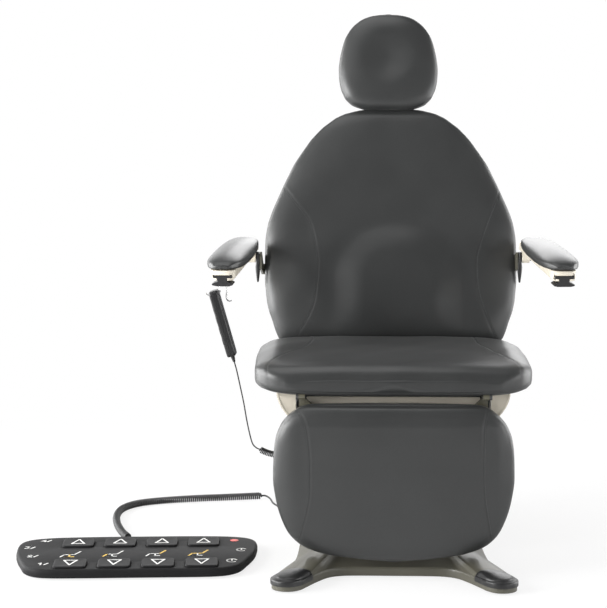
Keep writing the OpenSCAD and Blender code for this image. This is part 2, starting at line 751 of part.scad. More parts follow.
// Lift spindle: a fixed tube, a middle stage and the rod under the lift head
module lift_cylinder() color(dark_steel) translate([0, column_y, column_z]) difference() {
    cylinder(r = lift_rod_r + 2 * lift_step, h = lift_tube_h);
    translate([0, 0, lift_floor]) cylinder(r = lift_rod_r + lift_step + run_gap, h = lift_tube_h);
}
module lift_stage() color(steel) translate([0, column_y, column_z + lift_floor + side_gap]) difference() {
    cylinder(r = lift_rod_r + lift_step, h = lift_tube_h);
    translate([0, 0, lift_floor]) cylinder(r = lift_rod_r + run_gap, h = lift_tube_h);
}
module lift_rod() color(steel) translate([0, column_y, lift_rod_z])
    cylinder(r = lift_rod_r, h = head_plate_z - lift_rod_z);

module shroud(half, z0, z1) translate([0, 0, z0]) linear_extrude(z1 - z0) difference() {
    square_about_column(half);
    square_about_column(half - shroud_wall);
}
shroud_step = shroud_wall + shroud_gap;
module shroud_lower() color(olive)
    shroud(shroud_half, column_z + seat_gap, column_z + shroud_low_h);
module shroud_mid() color(olive) {
    shroud(shroud_half + shroud_step, base_top_z + shroud_gap, shroud_mid_top);
    // Top web that rests on the middle tube
    translate([0, 0, shroud_mid_top - shroud_wall]) linear_extrude(shroud_wall) difference() {
        square_about_column(shroud_half + shroud_step);
        translate([0, column_y]) square([column_w - stage_shrink + 2 * seat_gap,
            column_d - stage_shrink + 2 * seat_gap], center = true);
        translate([0, tilt_drive_y]) circle(r = tilt_body_r + side_gap);
    }
}
module shroud_top() color(olive) {
    shroud(shroud_half + 2 * shroud_step, base_top_z + shroud_gap, head_plate_z);
    translate([0, 0, head_plate_z - shroud_wall]) linear_extrude(shroud_wall) difference() {
        square_about_column(shroud_half + 2 * shroud_step);
        translate([0, column_y]) square([column_w - 2 * stage_shrink + 2 * seat_gap,
            column_d - 2 * stage_shrink + 2 * seat_gap], center = true);
        translate([0, tilt_drive_y]) circle(r = tilt_body_r + seat_gap);
    }
}

// Lift head: plate on the inner tube, with the two lugs and pins of the tilt hinge
module lift_head() color(dark_steel) difference() {
    union() {
        block(-head_half_x, head_half_x, head_front_y, head_back_y, head_plate_z,
            head_plate_z + head_plate_t);
        both() {
            yz_plate(tilt_lug_in, tilt_lug_t) union() {
                translate([tilt_y, tilt_z]) circle(r = tilt_lug_r);
                polygon([[tilt_y - tilt_foot, head_plate_z + over], [tilt_y + tilt_foot, head_plate_z + over],
                    [tilt_y + tilt_lug_r, tilt_z], [tilt_y - tilt_lug_r, tilt_z]]);
            }
            translate([0, tilt_y, tilt_z]) x_bar(tilt_lug_in, rail_in + over, pin_r);
        }
    }
    translate([0, tilt_drive_y, head_plate_z - over]) cylinder(r = tilt_body_r + seat_gap,
        h = head_plate_t + 2 * over);
}
module tilt_actuator() color(near_black) translate([0, tilt_drive_y, 0]) difference() {
    union() {
        translate([0, 0, tilt_body_z]) cylinder(r = tilt_body_r,
            h = head_plate_z + head_plate_t - tilt_body_z + tilt_flange_t);
        translate([0, 0, head_plate_z + head_plate_t + seat_gap])
            cylinder(r = tilt_flange_r, h = tilt_flange_t - seat_gap);
    }
    translate([0, 0, tilt_body_z + drive_floor]) cylinder(r = tilt_rod_r + run_gap, h = column_h);
}
module tilt_rod() color(steel) translate([0, tilt_drive_y, 0]) {
    translate([0, 0, tilt_pin_z - tilt_rod_len]) cylinder(r = tilt_rod_r, h = tilt_rod_len);
    translate([0, 0, tilt_pin_z]) {
        x_bar(-drive_eye_w / 2, drive_eye_w / 2, tilt_eye_r);
        x_bar(-crank_gap - crank_t - over, crank_gap + crank_t + over, drive_pin_r);
    }
}

// Seat frame
module rail(x0) difference() {
    block(x0, x0 + rail_w, rail_front_y, rail_back_y, rail_top - rail_h, rail_top);
    block(x0 + pan_t, x0 + rail_w - pan_t, rail_front_y - over, rail_back_y + over,
        rail_top - rail_h + pan_t, rail_top - pan_t);
}
module cranks(x) for (s = [-1, 1])
    yz_plate(x + s * (crank_gap + crank_t / 2) - crank_t / 2, crank_t) children();
module seat_frame() color(dark_steel) {
    both() {
        rail(rail_in);
        // Lug and pin of the back hinge
        yz_plate(rail_in, lug_t) union() {
            translate([back_y, back_z]) circle(r = lug_r);
            polygon([[back_y - lug_r - lug_t, rail_top - over], [rail_back_y, rail_top - over],
                [back_y + lug_r, back_z], [back_y - lug_r, back_z]]);
        }
        translate([0, back_y, back_z]) x_bar(hinge_pin_in, rail_in + lug_t, pin_r);
        // Lug of the tilt hinge
        difference() {
            yz_plate(tilt_lug_in + tilt_lug_t + side_gap, rail_in + over - tilt_lug_in - tilt_lug_t
                - side_gap) union() {
                translate([tilt_y, tilt_z]) circle(r = tilt_lug_r);
                polygon([[tilt_y - tilt_foot, rail_top - over], [back_y, rail_top - over],
                    [tilt_y + tilt_lug_r, tilt_z], [tilt_y - tilt_lug_r, tilt_z]]);
            }
            translate([0, tilt_y, tilt_z]) x_bar(tilt_lug_in, rail_in + lug_t, pin_r + run_gap);
            translate([0, back_y, back_z]) x_bar(tilt_lug_in, hinge_tube_half + side_gap, lug_r + side_gap);
        }
        // Lug and pin of the leg hinge
        yz_plate(leg_lug_in, leg_lug_t) union() {
            translate([leg_y, leg_z]) circle(r = leg_lug_r);
            polygon([[leg_y, leg_z - leg_lug_r], [leg_y, leg_z + leg_lug_r],
                [front_cross_y + over, leg_z + leg_lug_r - over], [front_cross_y + over, leg_z - 2 * leg_lug_r]]);
        }
        translate([0, leg_y, leg_z]) x_bar(leg_bracket_in - over, leg_lug_in + leg_lug_t, leg_pin_r);
    }
    block(-leg_lug_in - leg_lug_t, leg_lug_in + leg_lug_t, front_cross_y, front_cross_y + front_cross_w,
        rail_top - rail_h, rail_top);
    for (y = [tilt_drive_y - cross_w / 2, seat_back_y - pan_back_inset - cross_w])
        block(-rail_in - over, rail_in + over, y, y + cross_w, rail_top - cross_h, rail_top);
    block(-pan_half_w, pan_half_w, front_cross_y, seat_back_y - pan_back_inset, rail_top, seat_z);
    // Slotted plates that the tilt drive lifts
    cranks(0) difference() {
        polygon([[tilt_drive_y - tilt_plate_w, rail_top - over], [tilt_drive_y + cross_w, rail_top - over],
            [tilt_drive_y + cross_w / 2, tilt_pin_z - tilt_eye_r],
            [tilt_drive_y - tilt_plate_w, tilt_pin_z - tilt_eye_r]]);
        tilt_slot();
    }
}
// Places of the lift pin in the tilted frame, which keep it in contact
module tilt_slot() track([for (i = [0:slot_steps])
    let (a = tilt_range * i / slot_steps, z = tilt_rise + tilt_travel * i / slot_steps)
    [tilt_y - tilt_arm * cos(a) - z * sin(a), tilt_z - tilt_arm * sin(a) + z * cos(a)]]);

module seat_cushion() color(vinyl) {
    rows = [for (s = seat_shares) [for (p = pad_ring(s[1] * seat_half_w, seat_z + s[2] * seat_t,
        seat_z + s[3] * seat_t, s[4])) [p[0], seat_front_y + s[0] * seat_len, p[1]]]];
    loft(rows);
}

// Cover under the seat: curved sides, end faces beside the leg brackets and a front strip
function skirt_curve(grow) = [for (a = [0:6:90]) [skirt_core + (skirt_half_w - skirt_core
    + grow) * pow(cos(a), skirt_power), skirt_top_z - (skirt_h + grow) * sin(a)]];
module skirt_side() let (inner = skirt_curve(-skirt_wall))
    polygon(concat(skirt_curve(0), [for (i = [len(inner) - 1:-1:0]) inner[i]]));
module seat_skirt() color(cream) {
    both() {
        translate([0, skirt_back_y, 0]) rotate([90, 0, 0])
            linear_extrude(skirt_back_y - skirt_front_y) skirt_side();
        // Ledge screwed under the seat pan
        block(pan_half_w - skirt_ledge, skirt_half_w - skirt_wall + over, front_cross_y,
            skirt_back_y, rail_top - seat_gap - skirt_wall, rail_top - seat_gap);
        // End face outside the leg bracket
        translate([0, skirt_front_y + skirt_wall + side_gap, 0]) rotate([90, 0, 0]) linear_extrude(skirt_wall) intersection() {
            polygon(concat([[skirt_core, skirt_top_z]], skirt_curve(0)));
            translate([ear_in, skirt_top_z - skirt_h]) square([skirt_half_w - ear_in, skirt_h]);
        }
        // Boss behind the front strip
        block(fascia_half / 2, fascia_half / 2 + boss_len, skirt_front_y + over,
            front_cross_y - seat_gap, fascia_top - fascia_h, fascia_top);
    }
    block(-fascia_half, fascia_half, skirt_front_y, skirt_front_y + skirt_wall,
        fascia_top - fascia_h, fascia_top);
}

// Linear drive along Y: a motor tube with a bore, mouth towards the pin
module drive_body(x, z, y_mouth, y_end, saddle_y, saddle_top) color(near_black) {
    dir = y_mouth > y_end ? 1 : -1;
    difference() {
        union() {
            translate([x, 0, z]) y_bar(min(y_mouth, y_end), max(y_mouth, y_end), drive_body_r);
            block(x - saddle_half, x + saddle_half, saddle_y - saddle_half, saddle_y + saddle_half,
                z, saddle_top - seat_gap);
        }
        translate([x, 0, z]) y_bar(min(y_mouth + dir * over, y_end + dir * drive_floor),
            max(y_mouth + dir * over, y_end + dir * drive_floor), drive_rod_r + run_gap);
    }
}
module drive_rod(x, z, y_pin, y_tail) color(steel) {
    translate([x, 0, z]) y_bar(min(y_pin, y_tail), max(y_pin, y_tail), drive_rod_r);
    translate([0, y_pin, z]) {
        x_bar(x - drive_eye_w / 2, x + drive_eye_w / 2, drive_eye_r);
        x_bar(x - crank_gap - crank_t - over, x + crank_gap + crank_t + over, drive_pin_r);
    }
}
leg_pin_z = leg_z - leg_drop;
leg_pin_y = leg_y + leg_stroke_half;
leg_mouth_y = leg_pin_y + drive_eye_r * 2;
leg_end_y = leg_mouth_y + leg_body_len;
back_pin_z = back_z - back_drop;
back_pin_y = back_y + back_stroke_half;
back_mouth_y = back_pin_y - 2 * back_stroke_half - drive_eye_r * 2;
back_end_y = back_mouth_y - back_body_len;
module leg_actuator() drive_body(leg_drive_x, leg_pin_z, leg_mouth_y, leg_end_y,
    front_cross_y + front_cross_w - saddle_half, rail_top - rail_h);
module back_actuator() drive_body(back_drive_x, back_pin_z, back_mouth_y, back_end_y,
    tilt_drive_y, rail_top - cross_h);
module leg_rod() drive_rod(leg_drive_x, leg_pin_z, leg_pin_y, leg_end_y - drive_floor - side_gap);
module back_rod() drive_rod(back_drive_x, back_pin_z, back_pin_y,
    back_end_y + drive_floor + side_gap + 2 * back_stroke_half);

// Where the last point of the cord's route enters its socket
pendant_end = pendant_tail_route[len(pendant_tail_route) - 1];
module pendant_socket() color(near_black) translate([pendant_end[0], pendant_end[1], 0]) {
    block(-socket_half, socket_half, -socket_half, socket_half, pendant_end[2] + relief_len,
        rail_top - rail_h - seat_gap);
    translate([0, 0, pendant_end[2] + seat_gap]) cylinder(r1 = relief_tip_r, r2 = relief_root_r, h = relief_len);
}
module pendant_lead() color(near_black) {
    tube(curve(pendant_lead_route, 2), pendant_wire_d / 2, 8, [0, 1, 0]);
    tube(pendant_tail_route, pendant_wire_d / 2, 8, [0, 1, 0]);
}
module pendant_coil() color(near_black) curly(pendant_coil_route, pendant_curls, pendant_coil_od,
    pendant_wire_d, [0, 1, 0], "pendant cord");

// Leg rest
module leg_frame() color(olive_dark) difference() {
    union() {
        both() {
            // Rail with a round lower end
            translate([leg_rail_in, leg_back_y + leg_frame_t + seat_gap, 0]) rotate([90, 0, 0])
                linear_extrude(leg_frame_t) union() {
                    translate([leg_rail_w / 2, leg_rail_low]) circle(r = leg_rail_w / 2);
                    polygon([[0, leg_rail_low], [leg_rail_w, leg_rail_low], [leg_rail_w, leg_z - leg_lug_r],
                        [0, leg_z - leg_bracket_h]]);
                }
            // Bracket that hooks over the top of the cushion to the pivot
            yz_plate(leg_bracket_in, leg_bracket_t) union() {
                translate([leg_y, leg_z]) circle(r = leg_lug_r);
                polygon([[leg_y, leg_z - leg_lug_r], [leg_y, leg_z + leg_lug_r],
                    [leg_back_y + leg_frame_t, leg_z + leg_lug_r], [leg_back_y + leg_frame_t, leg_foot_z],
                    [leg_back_y + side_gap, leg_foot_z], [leg_back_y + side_gap, leg_z - leg_lug_r]]);
            }
        }
        for (d = leg_cross_drop) block(-leg_rail_in - over, leg_rail_in + over, leg_back_y + seat_gap,
            leg_back_y + leg_frame_t + seat_gap, leg_z - d, leg_z - d + leg_cross_h);
        translate([0, leg_y, leg_z]) cranks(leg_drive_x) polygon(leg_crank_shape);
    }
    // Slot of the drive's pin, through the plates and the crossbar behind them
    translate([0, leg_y, leg_z]) yz_plate(leg_drive_x - crank_gap - crank_t - 2 * side_gap,
        2 * (crank_gap + crank_t + 2 * side_gap))
        cam_slot(leg_stroke_half, -2 * leg_stroke_half, -leg_drop, leg_range);
    both() translate([0, leg_y, leg_z]) x_bar(leg_bracket_in - over,
        leg_bracket_in + leg_bracket_t + over, leg_pin_r + run_gap);
    // Room for the drive's eye between the two plates
    block(leg_drive_x - crank_gap, leg_drive_x + crank_gap, leg_back_y - over,
        leg_back_y + leg_frame_t + over, leg_z - leg_eye_room * leg_drop, leg_z);
}
module leg_cushion() color(vinyl) {
    rows = [for (s = leg_shares) let (mid = leg_t / 2, half = leg_t / 2 * s[2]) [for (p = pad_ring(
        s[1] * leg_half_w, mid - half, mid + half + s[4] * leg_swell, s[3]))
        [p[0], leg_back_y - p[1], leg_top_z - leg_len + s[0] * leg_len]]];
    loft(rows);
}

// Back
module back_frame() color(dark_steel) in_back() difference() {
    union() {
        x_bar(-hinge_tube_half, hinge_tube_half, lug_r);
        both() {
            block(back_rail_in, back_rail_in + rail_w, back_rear + seat_gap, back_rail_y,
                back_rail_z0, back_rail_z1);
            // Gusset from the hinge tube, below and behind the cushion
            yz_plate(hinge_tube_half - lug_t, lug_t) polygon([[-lug_r, 0], [0, lug_r],
                [back_rear + side_gap, back_start - 2 * side_gap], [back_rear + side_gap, back_foot_z],
                [back_rail_y - side_gap, back_foot_z], [back_rail_y - side_gap, back_rail_z0], [lug_r, 0]]);
        }
        for (z = back_cross_z) block(-back_rail_in - over, back_rail_in + over, back_rear + back_cross_inset,
            back_rail_y, z, z + cross_h);
        block(-post_half - post_wall, post_half + post_wall, post_y - post_wall, post_y + post_t + post_wall,
            guide_z, back_rail_z1);
        rotate([back_lean, 0, 0]) cranks(back_drive_x) difference() {
            polygon(back_crank_shape);
            cam_slot(back_stroke_half, -2 * back_stroke_half, -back_drop, back_range);
        }
    }
    both() x_bar(hinge_pin_in - side_gap, hinge_tube_half + over, pin_r + run_gap);
    block(-post_half - seat_gap, post_half + seat_gap, post_y - seat_gap, post_y + post_t + seat_gap,
        guide_z - over, back_rail_z1 + over);
}
module back_cushion() color(vinyl) in_back() {
    rows = [for (s = back_shares) let (mid = back_t / 2, half = back_t / 2 * s[2]) [for (p = pad_ring(
        s[1] * back_half_w, mid - half, mid + half + s[4] * back_swell - back_swell, s[3]))
        [p[0], back_rear - p[1], back_start + s[0] * back_len]]];
    loft(rows);
}
// Hollow rear cover, a dish open towards the cushion
function dish_ring(half_w, deep, rim) = concat([for (u = dish_face_shares) [u * half_w, deep * dome(u, pad_power)]],
    [for (u = dish_rim_shares) [u * half_w, rim]]);
dish_face_shares = [-1, -0.985, -0.93, -0.8, -0.5, 0, 0.5, 0.8, 0.93, 0.985, 1];
dish_rim_shares = [0.9, 0, -0.9];
dish_row_shares = [[0.10, 0.70, 0.35], [0.115, 0.80, 0.7], [0.16, 0.88, 0.95], [0.259, 0.92, 1],
    [0.345, 0.93, 1], [0.431, 0.925, 1], [0.517, 0.88, 1], [0.604, 0.82, 1], [0.691, 0.73, 1],
    [0.779, 0.63, 0.96], [0.845, 0.54, 0.88], [0.90, 0.42, 0.72], [0.93, 0.30, 0.5], [0.945, 0.2, 0.3]];
module dish(shrink, rim) {
    last = len(dish_row_shares) - 1;
    rows = [for (k = [0:last]) let (s = dish_row_shares[k], z = back_start + s[0] * back_len)
        [for (p = dish_ring(s[1] * back_half_w - shrink, s[2] * back_cover_t - shrink, rim))
            [p[0], back_rear + 2 * seat_gap + p[1], k == 0 ? z + shrink : k == last ? z - shrink : z]]];
    loft(rows);
}
module back_cover() color(cream) in_back() difference() {
    union() {
        difference() {
            dish(0, 0);
            dish(cover_wall, -over);
        }
        both() for (z = cover_boss_z) block(back_rail_in + side_gap, back_rail_in + rail_w - side_gap,
            back_rail_y + seat_gap, back_rear + back_cover_t - cover_wall + over, z, z + boss_len);
    }
    both() block(back_rail_in + rail_w, back_half_w, back_rear - over, bracket_bar_y + bracket_bar_t + side_gap,
        bracket_bar_z - side_gap, bracket_bar_z + bracket_bar_h + side_gap);
    block(-post_half - side_gap, post_half + side_gap, post_y - side_gap, post_y + post_t + side_gap,
        back_rail_z1 + over, back_len + back_start);
    both() block(back_rail_in - side_gap, hinge_tube_half + side_gap, back_rear - over,
        back_rail_y + side_gap, back_rail_z0, back_cross_z[0]);
}

// Armrest brackets: a bar behind the cushion and a plate with the pivot pin, each side
module arm_brackets() color(olive_dark) in_back() both() {
    block(back_rail_in + rail_w + seat_gap, bracket_in + over, bracket_bar_y, bracket_bar_y + bracket_bar_t,
        bracket_bar_z, bracket_bar_z + bracket_bar_h);
    yz_plate(bracket_in, bracket_t) union() {
        translate([-arm_pivot_out, arm_pivot_along]) circle(r = bracket_ring_r);
        polygon([[-arm_pivot_out - bracket_ring_r, arm_pivot_along], [-arm_pivot_out, arm_pivot_along + bracket_ring_r],
            [bracket_bar_y + bracket_bar_t, bracket_bar_z + bracket_bar_h], [bracket_bar_y + bracket_bar_t, bracket_bar_z],
            [-arm_pivot_out, bracket_bar_z]]);
    }
    translate([0, -arm_pivot_out, arm_pivot_along]) {
        x_bar(bracket_in, boss_in + boss_w + seat_gap + pin_head_t, arm_pin_r);
        x_bar(boss_in + boss_w + seat_gap, boss_in + boss_w + seat_gap + pin_head_t, pin_head_r);
    }
}

// Headrest: a post that slides in the back frame, a plate on its pivot and the cushion
module head_post() color(near_black) in_back() {
    block(-post_half, post_half, post_y, post_y + post_t, post_z0, head_pivot_z - head_lug_r - 2 * side_gap);
    both() block(head_lug_half + seat_gap, post_half, post_y, post_y + post_t,
        head_pivot_z - 2 * head_lug_r, head_pivot_z + head_ear_r);
    for (s = [-1, 1]) yz_plate(s * (head_lug_half + seat_gap + head_ear_t / 2) - head_ear_t / 2, head_ear_t)
        union() {
            translate([head_pivot_y, head_pivot_z]) circle(r = head_ear_r);
            polygon([[head_pivot_y, head_pivot_z - head_ear_r], [post_y + over, head_pivot_z - head_ear_r],
                [post_y + over, head_pivot_z + head_ear_r], [head_pivot_y, head_pivot_z + head_ear_r]]);
        }
    translate([0, head_pivot_y, head_pivot_z]) x_bar(-head_lug_half - head_ear_t, head_lug_half + head_ear_t, drive_pin_r);
}
module head_plate() color(near_black) in_back() difference() {
    union() {
        translate([0, head_rear + seat_gap + head_back_t, head_pivot_z]) rotate([90, 0, 0])
            linear_extrude(head_back_t) polygon(round_rect(head_back_half, head_back_half, head_back_r));
        yz_plate(-head_lug_half, 2 * head_lug_half) union() {
            translate([head_pivot_y, head_pivot_z]) circle(r = head_lug_r);
            polygon([[head_rear + head_back_t, head_pivot_z - 2 * head_lug_r], [head_pivot_y, head_pivot_z - head_lug_r],
                [head_pivot_y, head_pivot_z + head_lug_r], [head_rear + head_back_t, head_pivot_z + 2 * head_lug_r]]);
        }
    }
    translate([0, head_pivot_y, head_pivot_z]) x_bar(-head_lug_half - over, head_lug_half + over, drive_pin_r + run_gap);
}
function dimple(x, z) = let (d = norm([x, z - dimple_z]) / dimple_r) d < 1 ? dimple_depth * pow(cos(d * 90), 2) : 0;
module head_cushion() color(vinyl) in_back() {
    rows = [for (s = head_shares) let (mid = head_t / 2, half = head_t / 2 * s[2], z = head_z0 + s[0] * head_len)
        [for (p = pad_ring(s[1] * head_half_w, mid - half, mid + half, 0))
            [p[0], head_rear - p[1] + (p[1] > mid ? dimple(p[0], z) : 0), z]]];
    loft(rows);
}

// Armrests, drawn on the +X side
module in_arm() translate([arm_x, arm_pivot_y, arm_pivot_z]) rotate([arm_slope, 0, arm_splay]) children();
module arm_bar(section) intersection() {
    translate([0, arm_rear, 0]) rotate([90, 0, 0]) linear_extrude(arm_rear + arm_len) polygon(section);
    translate([0, (arm_rear - arm_len) / 2, arm_z0 - over]) linear_extrude(arm_h + 2 * over)
        polygon(round_rect(arm_w / 2, (arm_len + arm_rear) / 2, arm_w / 3));
}
module arm_shell() color(cream) difference() {
    union() {
        in_arm() arm_bar([[-arm_w / 2 + arm_bevel, arm_z0], [arm_w / 2 - arm_bevel, arm_z0],
            [arm_w / 2, arm_z0 + arm_bevel], [arm_w / 2, arm_z0 + arm_h], [-arm_w / 2, arm_z0 + arm_h],
            [-arm_w / 2, arm_z0 + arm_bevel]]);
        translate([0, arm_pivot_y, arm_pivot_z]) {
            x_bar(boss_in, boss_in + boss_w, arm_boss_r);
            block(boss_in, boss_in + boss_w, -arm_boss_r, arm_boss_r - over, 0, arm_z0 + over);
        }
    }
    translate([0, arm_pivot_y, arm_pivot_z]) x_bar(boss_in - over, boss_in + boss_w + over, arm_pin_r + run_gap);
    in_arm() {
        block(-slot_mouth_w / 2, slot_mouth_w / 2, -arm_len - over, -slot_start, arm_z0 - over, arm_z0 + slot_mouth_h + over);
        block(-slot_under_w / 2, slot_under_w / 2, -arm_len - over, -slot_start, arm_z0 + slot_mouth_h,
            arm_z0 + slot_mouth_h + slot_under_h);
    }
}
// Pad: place along, half width, thickness, as shares
arm_pad_shares = [[0, 0.35, 0.3], [0.012, 0.60, 0.6], [0.05, 0.82, 0.85], [0.14, 0.95, 1], [0.35, 1, 1],
    [0.6, 0.98, 1], [0.8, 0.93, 1], [0.91, 0.86, 0.95], [0.965, 0.72, 0.82], [0.99, 0.52, 0.6], [1, 0.3, 0.3]];
module arm_pad() color(vinyl) in_arm() {
    z0 = arm_z0 + arm_h + seat_gap;
    rows = [for (s = arm_pad_shares) [for (p = pad_ring(s[1] * arm_pad_w / 2, arm_pad_t * (1 - s[2]) / 2, arm_pad_t * (1 + s[2]) / 2, 0))
        [p[0], arm_rear - s[0] * (arm_rear + arm_len + over), z0 + p[1]]]];
    loft(rows);
}
module arm_lever() color(near_black) difference() {
    translate([0, arm_pivot_y, arm_pivot_z]) union() {
        x_bar(lever_in, lever_in + lever_w, lever_hub_r);
        yz_plate(lever_in, lever_w) polygon([[-lever_hub_r + over, 0], [-lever_tip / 2, -lever_drop + lever_tip / 2],
            [0, -lever_drop], [lever_tip / 2, -lever_drop + lever_tip / 2], [lever_hub_r - over, 0]]);
    }
    translate([0, arm_pivot_y, arm_pivot_z]) x_bar(lever_in - over, lever_in + lever_w + over, arm_pin_r + run_gap);
}
// Carriage in the accessory slot: head in the undercut, neck through the mouth, flared foot
clamp_half = concat([for (s = clamp_shares) [s[0] * clamp_w, arm_z0 - side_gap + s[1] * (clamp_drop - side_gap)]],
    [[slot_mouth_w / 2 - side_gap, arm_z0 - side_gap], [slot_mouth_w / 2 - side_gap, arm_z0 + slot_mouth_h + seat_gap],
    [slot_under_w / 2 - side_gap, arm_z0 + slot_mouth_h + seat_gap],
    [slot_under_w / 2 - side_gap, arm_z0 + slot_mouth_h + slot_under_h - side_gap]]);
module arm_clamp() color(near_black) in_arm() translate([0, clamp_y, 0]) rotate([90, 0, 0])
    linear_extrude(clamp_len, center = true) polygon(concat(clamp_half,
        [for (i = [len(clamp_half) - 1:-1:0]) [-clamp_half[i][0], clamp_half[i][1]]]));
module arm_shell_left() arm_shell();
module arm_pad_left() arm_pad();
module arm_lever_left() arm_lever();
module arm_clamp_left() arm_clamp();
module arm_shell_right() mirror([1, 0, 0]) arm_shell();
module arm_pad_right() mirror([1, 0, 0]) arm_pad();
module arm_lever_right() mirror([1, 0, 0]) arm_lever();
module arm_clamp_right() mirror([1, 0, 0]) arm_clamp();

// Pendant on its wire hook under the right armrest's carriage
clamp_out = clamp_y * cos(arm_slope) - (arm_z0 - clamp_drop) * sin(arm_slope);
hook_base = [-(arm_x - clamp_out * sin(arm_splay)), arm_pivot_y + clamp_out * cos(arm_splay),
    arm_pivot_z + clamp_y * sin(arm_slope) + (arm_z0 - clamp_drop) * cos(arm_slope)];
// Middle of the pendant's eye and the direction of its bore, from the foot of the carriage
eye_axis = [cos(pendant_swing), 0, sin(pendant_swing)];
eye_up = [-sin(pendant_swing), 0, cos(pendant_swing)];
eye_mid = [-pendant_out, 0, -pendant_drop] - hook_eye * eye_up + (hook_eye_r - hook_r - 2 * seat_gap) * eye_up;
hook_top = [0, 0, -4 * seat_gap - hook_saddle[2] / 2];
hook_full = concat([for (s = [[1, 0], [1, 3], [1, 5.5]]) hook_top - [s[0] * hook_leg_x, 0, s[1] * hook_r]],
    [for (s = [0.68, 0.5, 0, -0.5, -0.68]) eye_mid + s * pendant_t * eye_axis],
    [eye_mid - pendant_t * 0.86 * eye_axis + 1.5 * hook_r * eye_up, eye_mid - pendant_t * 0.92 * eye_axis
        + 4 * hook_r * eye_up]);
hook_free = [for (s = [[1, 0], [1.15, 6], [1, 12], [0.95, 17], [1.3, 21], [2, 22.5], [2.6, 21]])
    hook_top + [s[0] * hook_leg_x, 0, -s[1] * hook_r]];
module pendant_hook() color(steel) translate(hook_base) {
    translate(hook_top) cube(hook_saddle, center = true);
    tube(hook_full, hook_r, 8, [0, 1, 0]);
    tube(curve(hook_free, 2), hook_r, 8, [0, 1, 0]);
}
module pendant() color(near_black) translate(hook_base - [pendant_out, 0, pendant_drop])
    rotate([0, -pendant_swing, 0]) difference() {
        union() {
            rotate([90, 0, 90]) linear_extrude(pendant_t, center = true) translate([0, -pendant_h / 2])
                polygon(round_rect(pendant_w / 2, pendant_h / 2, pendant_corner));
            translate([0, 0, -pendant_h - relief_len]) cylinder(r1 = relief_tip_r, r2 = relief_root_r,
                h = relief_len + over);
        }
        translate([0, 0, -hook_eye]) x_bar(-pendant_t, pendant_t, hook_eye_r);
    }

// Foot control
module in_pedal() translate([pedal_x, pedal_y, 0]) rotate([0, 0, pedal_turn]) children();
// Outline: shares of the half length and half depth, right half from the front to the rear
pedal_shares = [[0, -1], [0.45, -1], [0.65, -0.985], [0.77, -0.92], [0.86, -0.75], [0.915, -0.45],
    [0.955, -0.2], [0.985, 0.06], [1, 0.35], [1, 0.55], [0.975, 0.72], [0.91, 0.85], [0.80, 0.93],
    [0.65, 0.975], [0.35, 1], [0, 1]];
pedal_n = len(pedal_shares);
function pedal_outline(inset) = grown([for (p = concat(pedal_shares,
    [for (i = [pedal_n - 2:-1:1]) [-pedal_shares[i][0], pedal_shares[i][1]]]))
    [p[0] * pedal_len / 2, p[1] * pedal_w / 2]], -inset);
pedal_rows = [[pedal_bevel, pedal_foot], [0, pedal_foot + pedal_bevel], [0, pedal_h - 2 * pedal_bevel],
    [pedal_bevel, pedal_h - pedal_bevel / 2], [2.5 * pedal_bevel, pedal_h]];
module pedal_housing() color(near_black) in_pedal() difference() {
    skin([for (r = pedal_rows) [for (p = pedal_outline(r[0])) [p[0], p[1], r[1]]]],
        [[0, 0, pedal_foot], [0, 0, pedal_h]]);
    translate([0, 0, pedal_foot - over]) linear_extrude(pedal_h - pedal_foot - pedal_wall + over)
        polygon(pedal_outline(pedal_rim));
    for (i = [0:3]) for (j = [0, 1]) translate([button_place(i, j)[0], button_place(i, j)[1], 0])
        linear_extrude(pedal_h + over) polygon(round_rect(button_w / 2 + side_gap, button_d / 2 + side_gap,
            button_corner + side_gap));
}
module pedal_base() color(near_black) in_pedal() {
    translate([0, 0, pedal_foot]) linear_extrude(pedal_wall) polygon(pedal_outline(pedal_rim + seat_gap));
    for (sx = [-1, 1]) for (sy = [-1, 1]) translate([sx * pedal_pad_share * pedal_len / 2,
        sy * pedal_pad_share * pedal_w / 2, 0]) cylinder(r = pedal_pad_r, h = pedal_foot + over);
}
function button_place(i, j) = [(i - 1.5) * button_dx + button_shift_x, (j - 0.5) * button_dy - button_shift_y];
module pedal_button(i, j) color(near_black) in_pedal() translate([button_place(i, j)[0], button_place(i, j)[1], 0]) {
    translate([0, 0, pedal_h - pedal_wall - side_gap / 2]) linear_extrude(button_rise + pedal_wall + side_gap / 2)
        polygon(round_rect(button_w / 2, button_d / 2, button_corner));
    translate([0, 0, pedal_h - pedal_wall - side_gap / 2 - button_flange]) linear_extrude(button_flange)
        polygon(round_rect(button_w / 2 + 2 * side_gap, button_d / 2 + 2 * side_gap, button_corner));
    // Stem that stops on the base plate
    translate([0, 0, pedal_foot + pedal_wall + button_travel]) cylinder(r = pedal_pad_r,
        h = pedal_h - pedal_wall - button_flange - pedal_foot - pedal_wall - button_travel);
}
module pedal_button_1() pedal_button(0, 1);
module pedal_button_2() pedal_button(1, 1);
module pedal_button_3() pedal_button(2, 1);
module pedal_button_4() pedal_button(3, 1);
module pedal_button_5() pedal_button(0, 0);
module pedal_button_6() pedal_button(1, 0);
module pedal_button_7() pedal_button(2, 0);
module pedal_button_8() pedal_button(3, 0);
module pedal_relief() color(near_black) in_pedal() translate([pedal_relief_x, pedal_w / 2 + seat_gap,
    pedal_lead_a[0][2]]) rotate([-90, 0, 0]) cylinder(r1 = relief_root_r, r2 = relief_tip_r, h = pedal_relief_len);
module pedal_lead() color(near_black) {
    tube(curve(pedal_lead_a, 2), pedal_wire_d / 2, 8, [0, 0, 1]);
    tube(curve(pedal_lead_b, 2), pedal_wire_d / 2, 8, [0, 0, 1]);
}
module pedal_coil() color(near_black) curly(pedal_coil_route, pedal_curls, pedal_coil_od, pedal_wire_d, [0, 0, 1],
    "foot control cord");

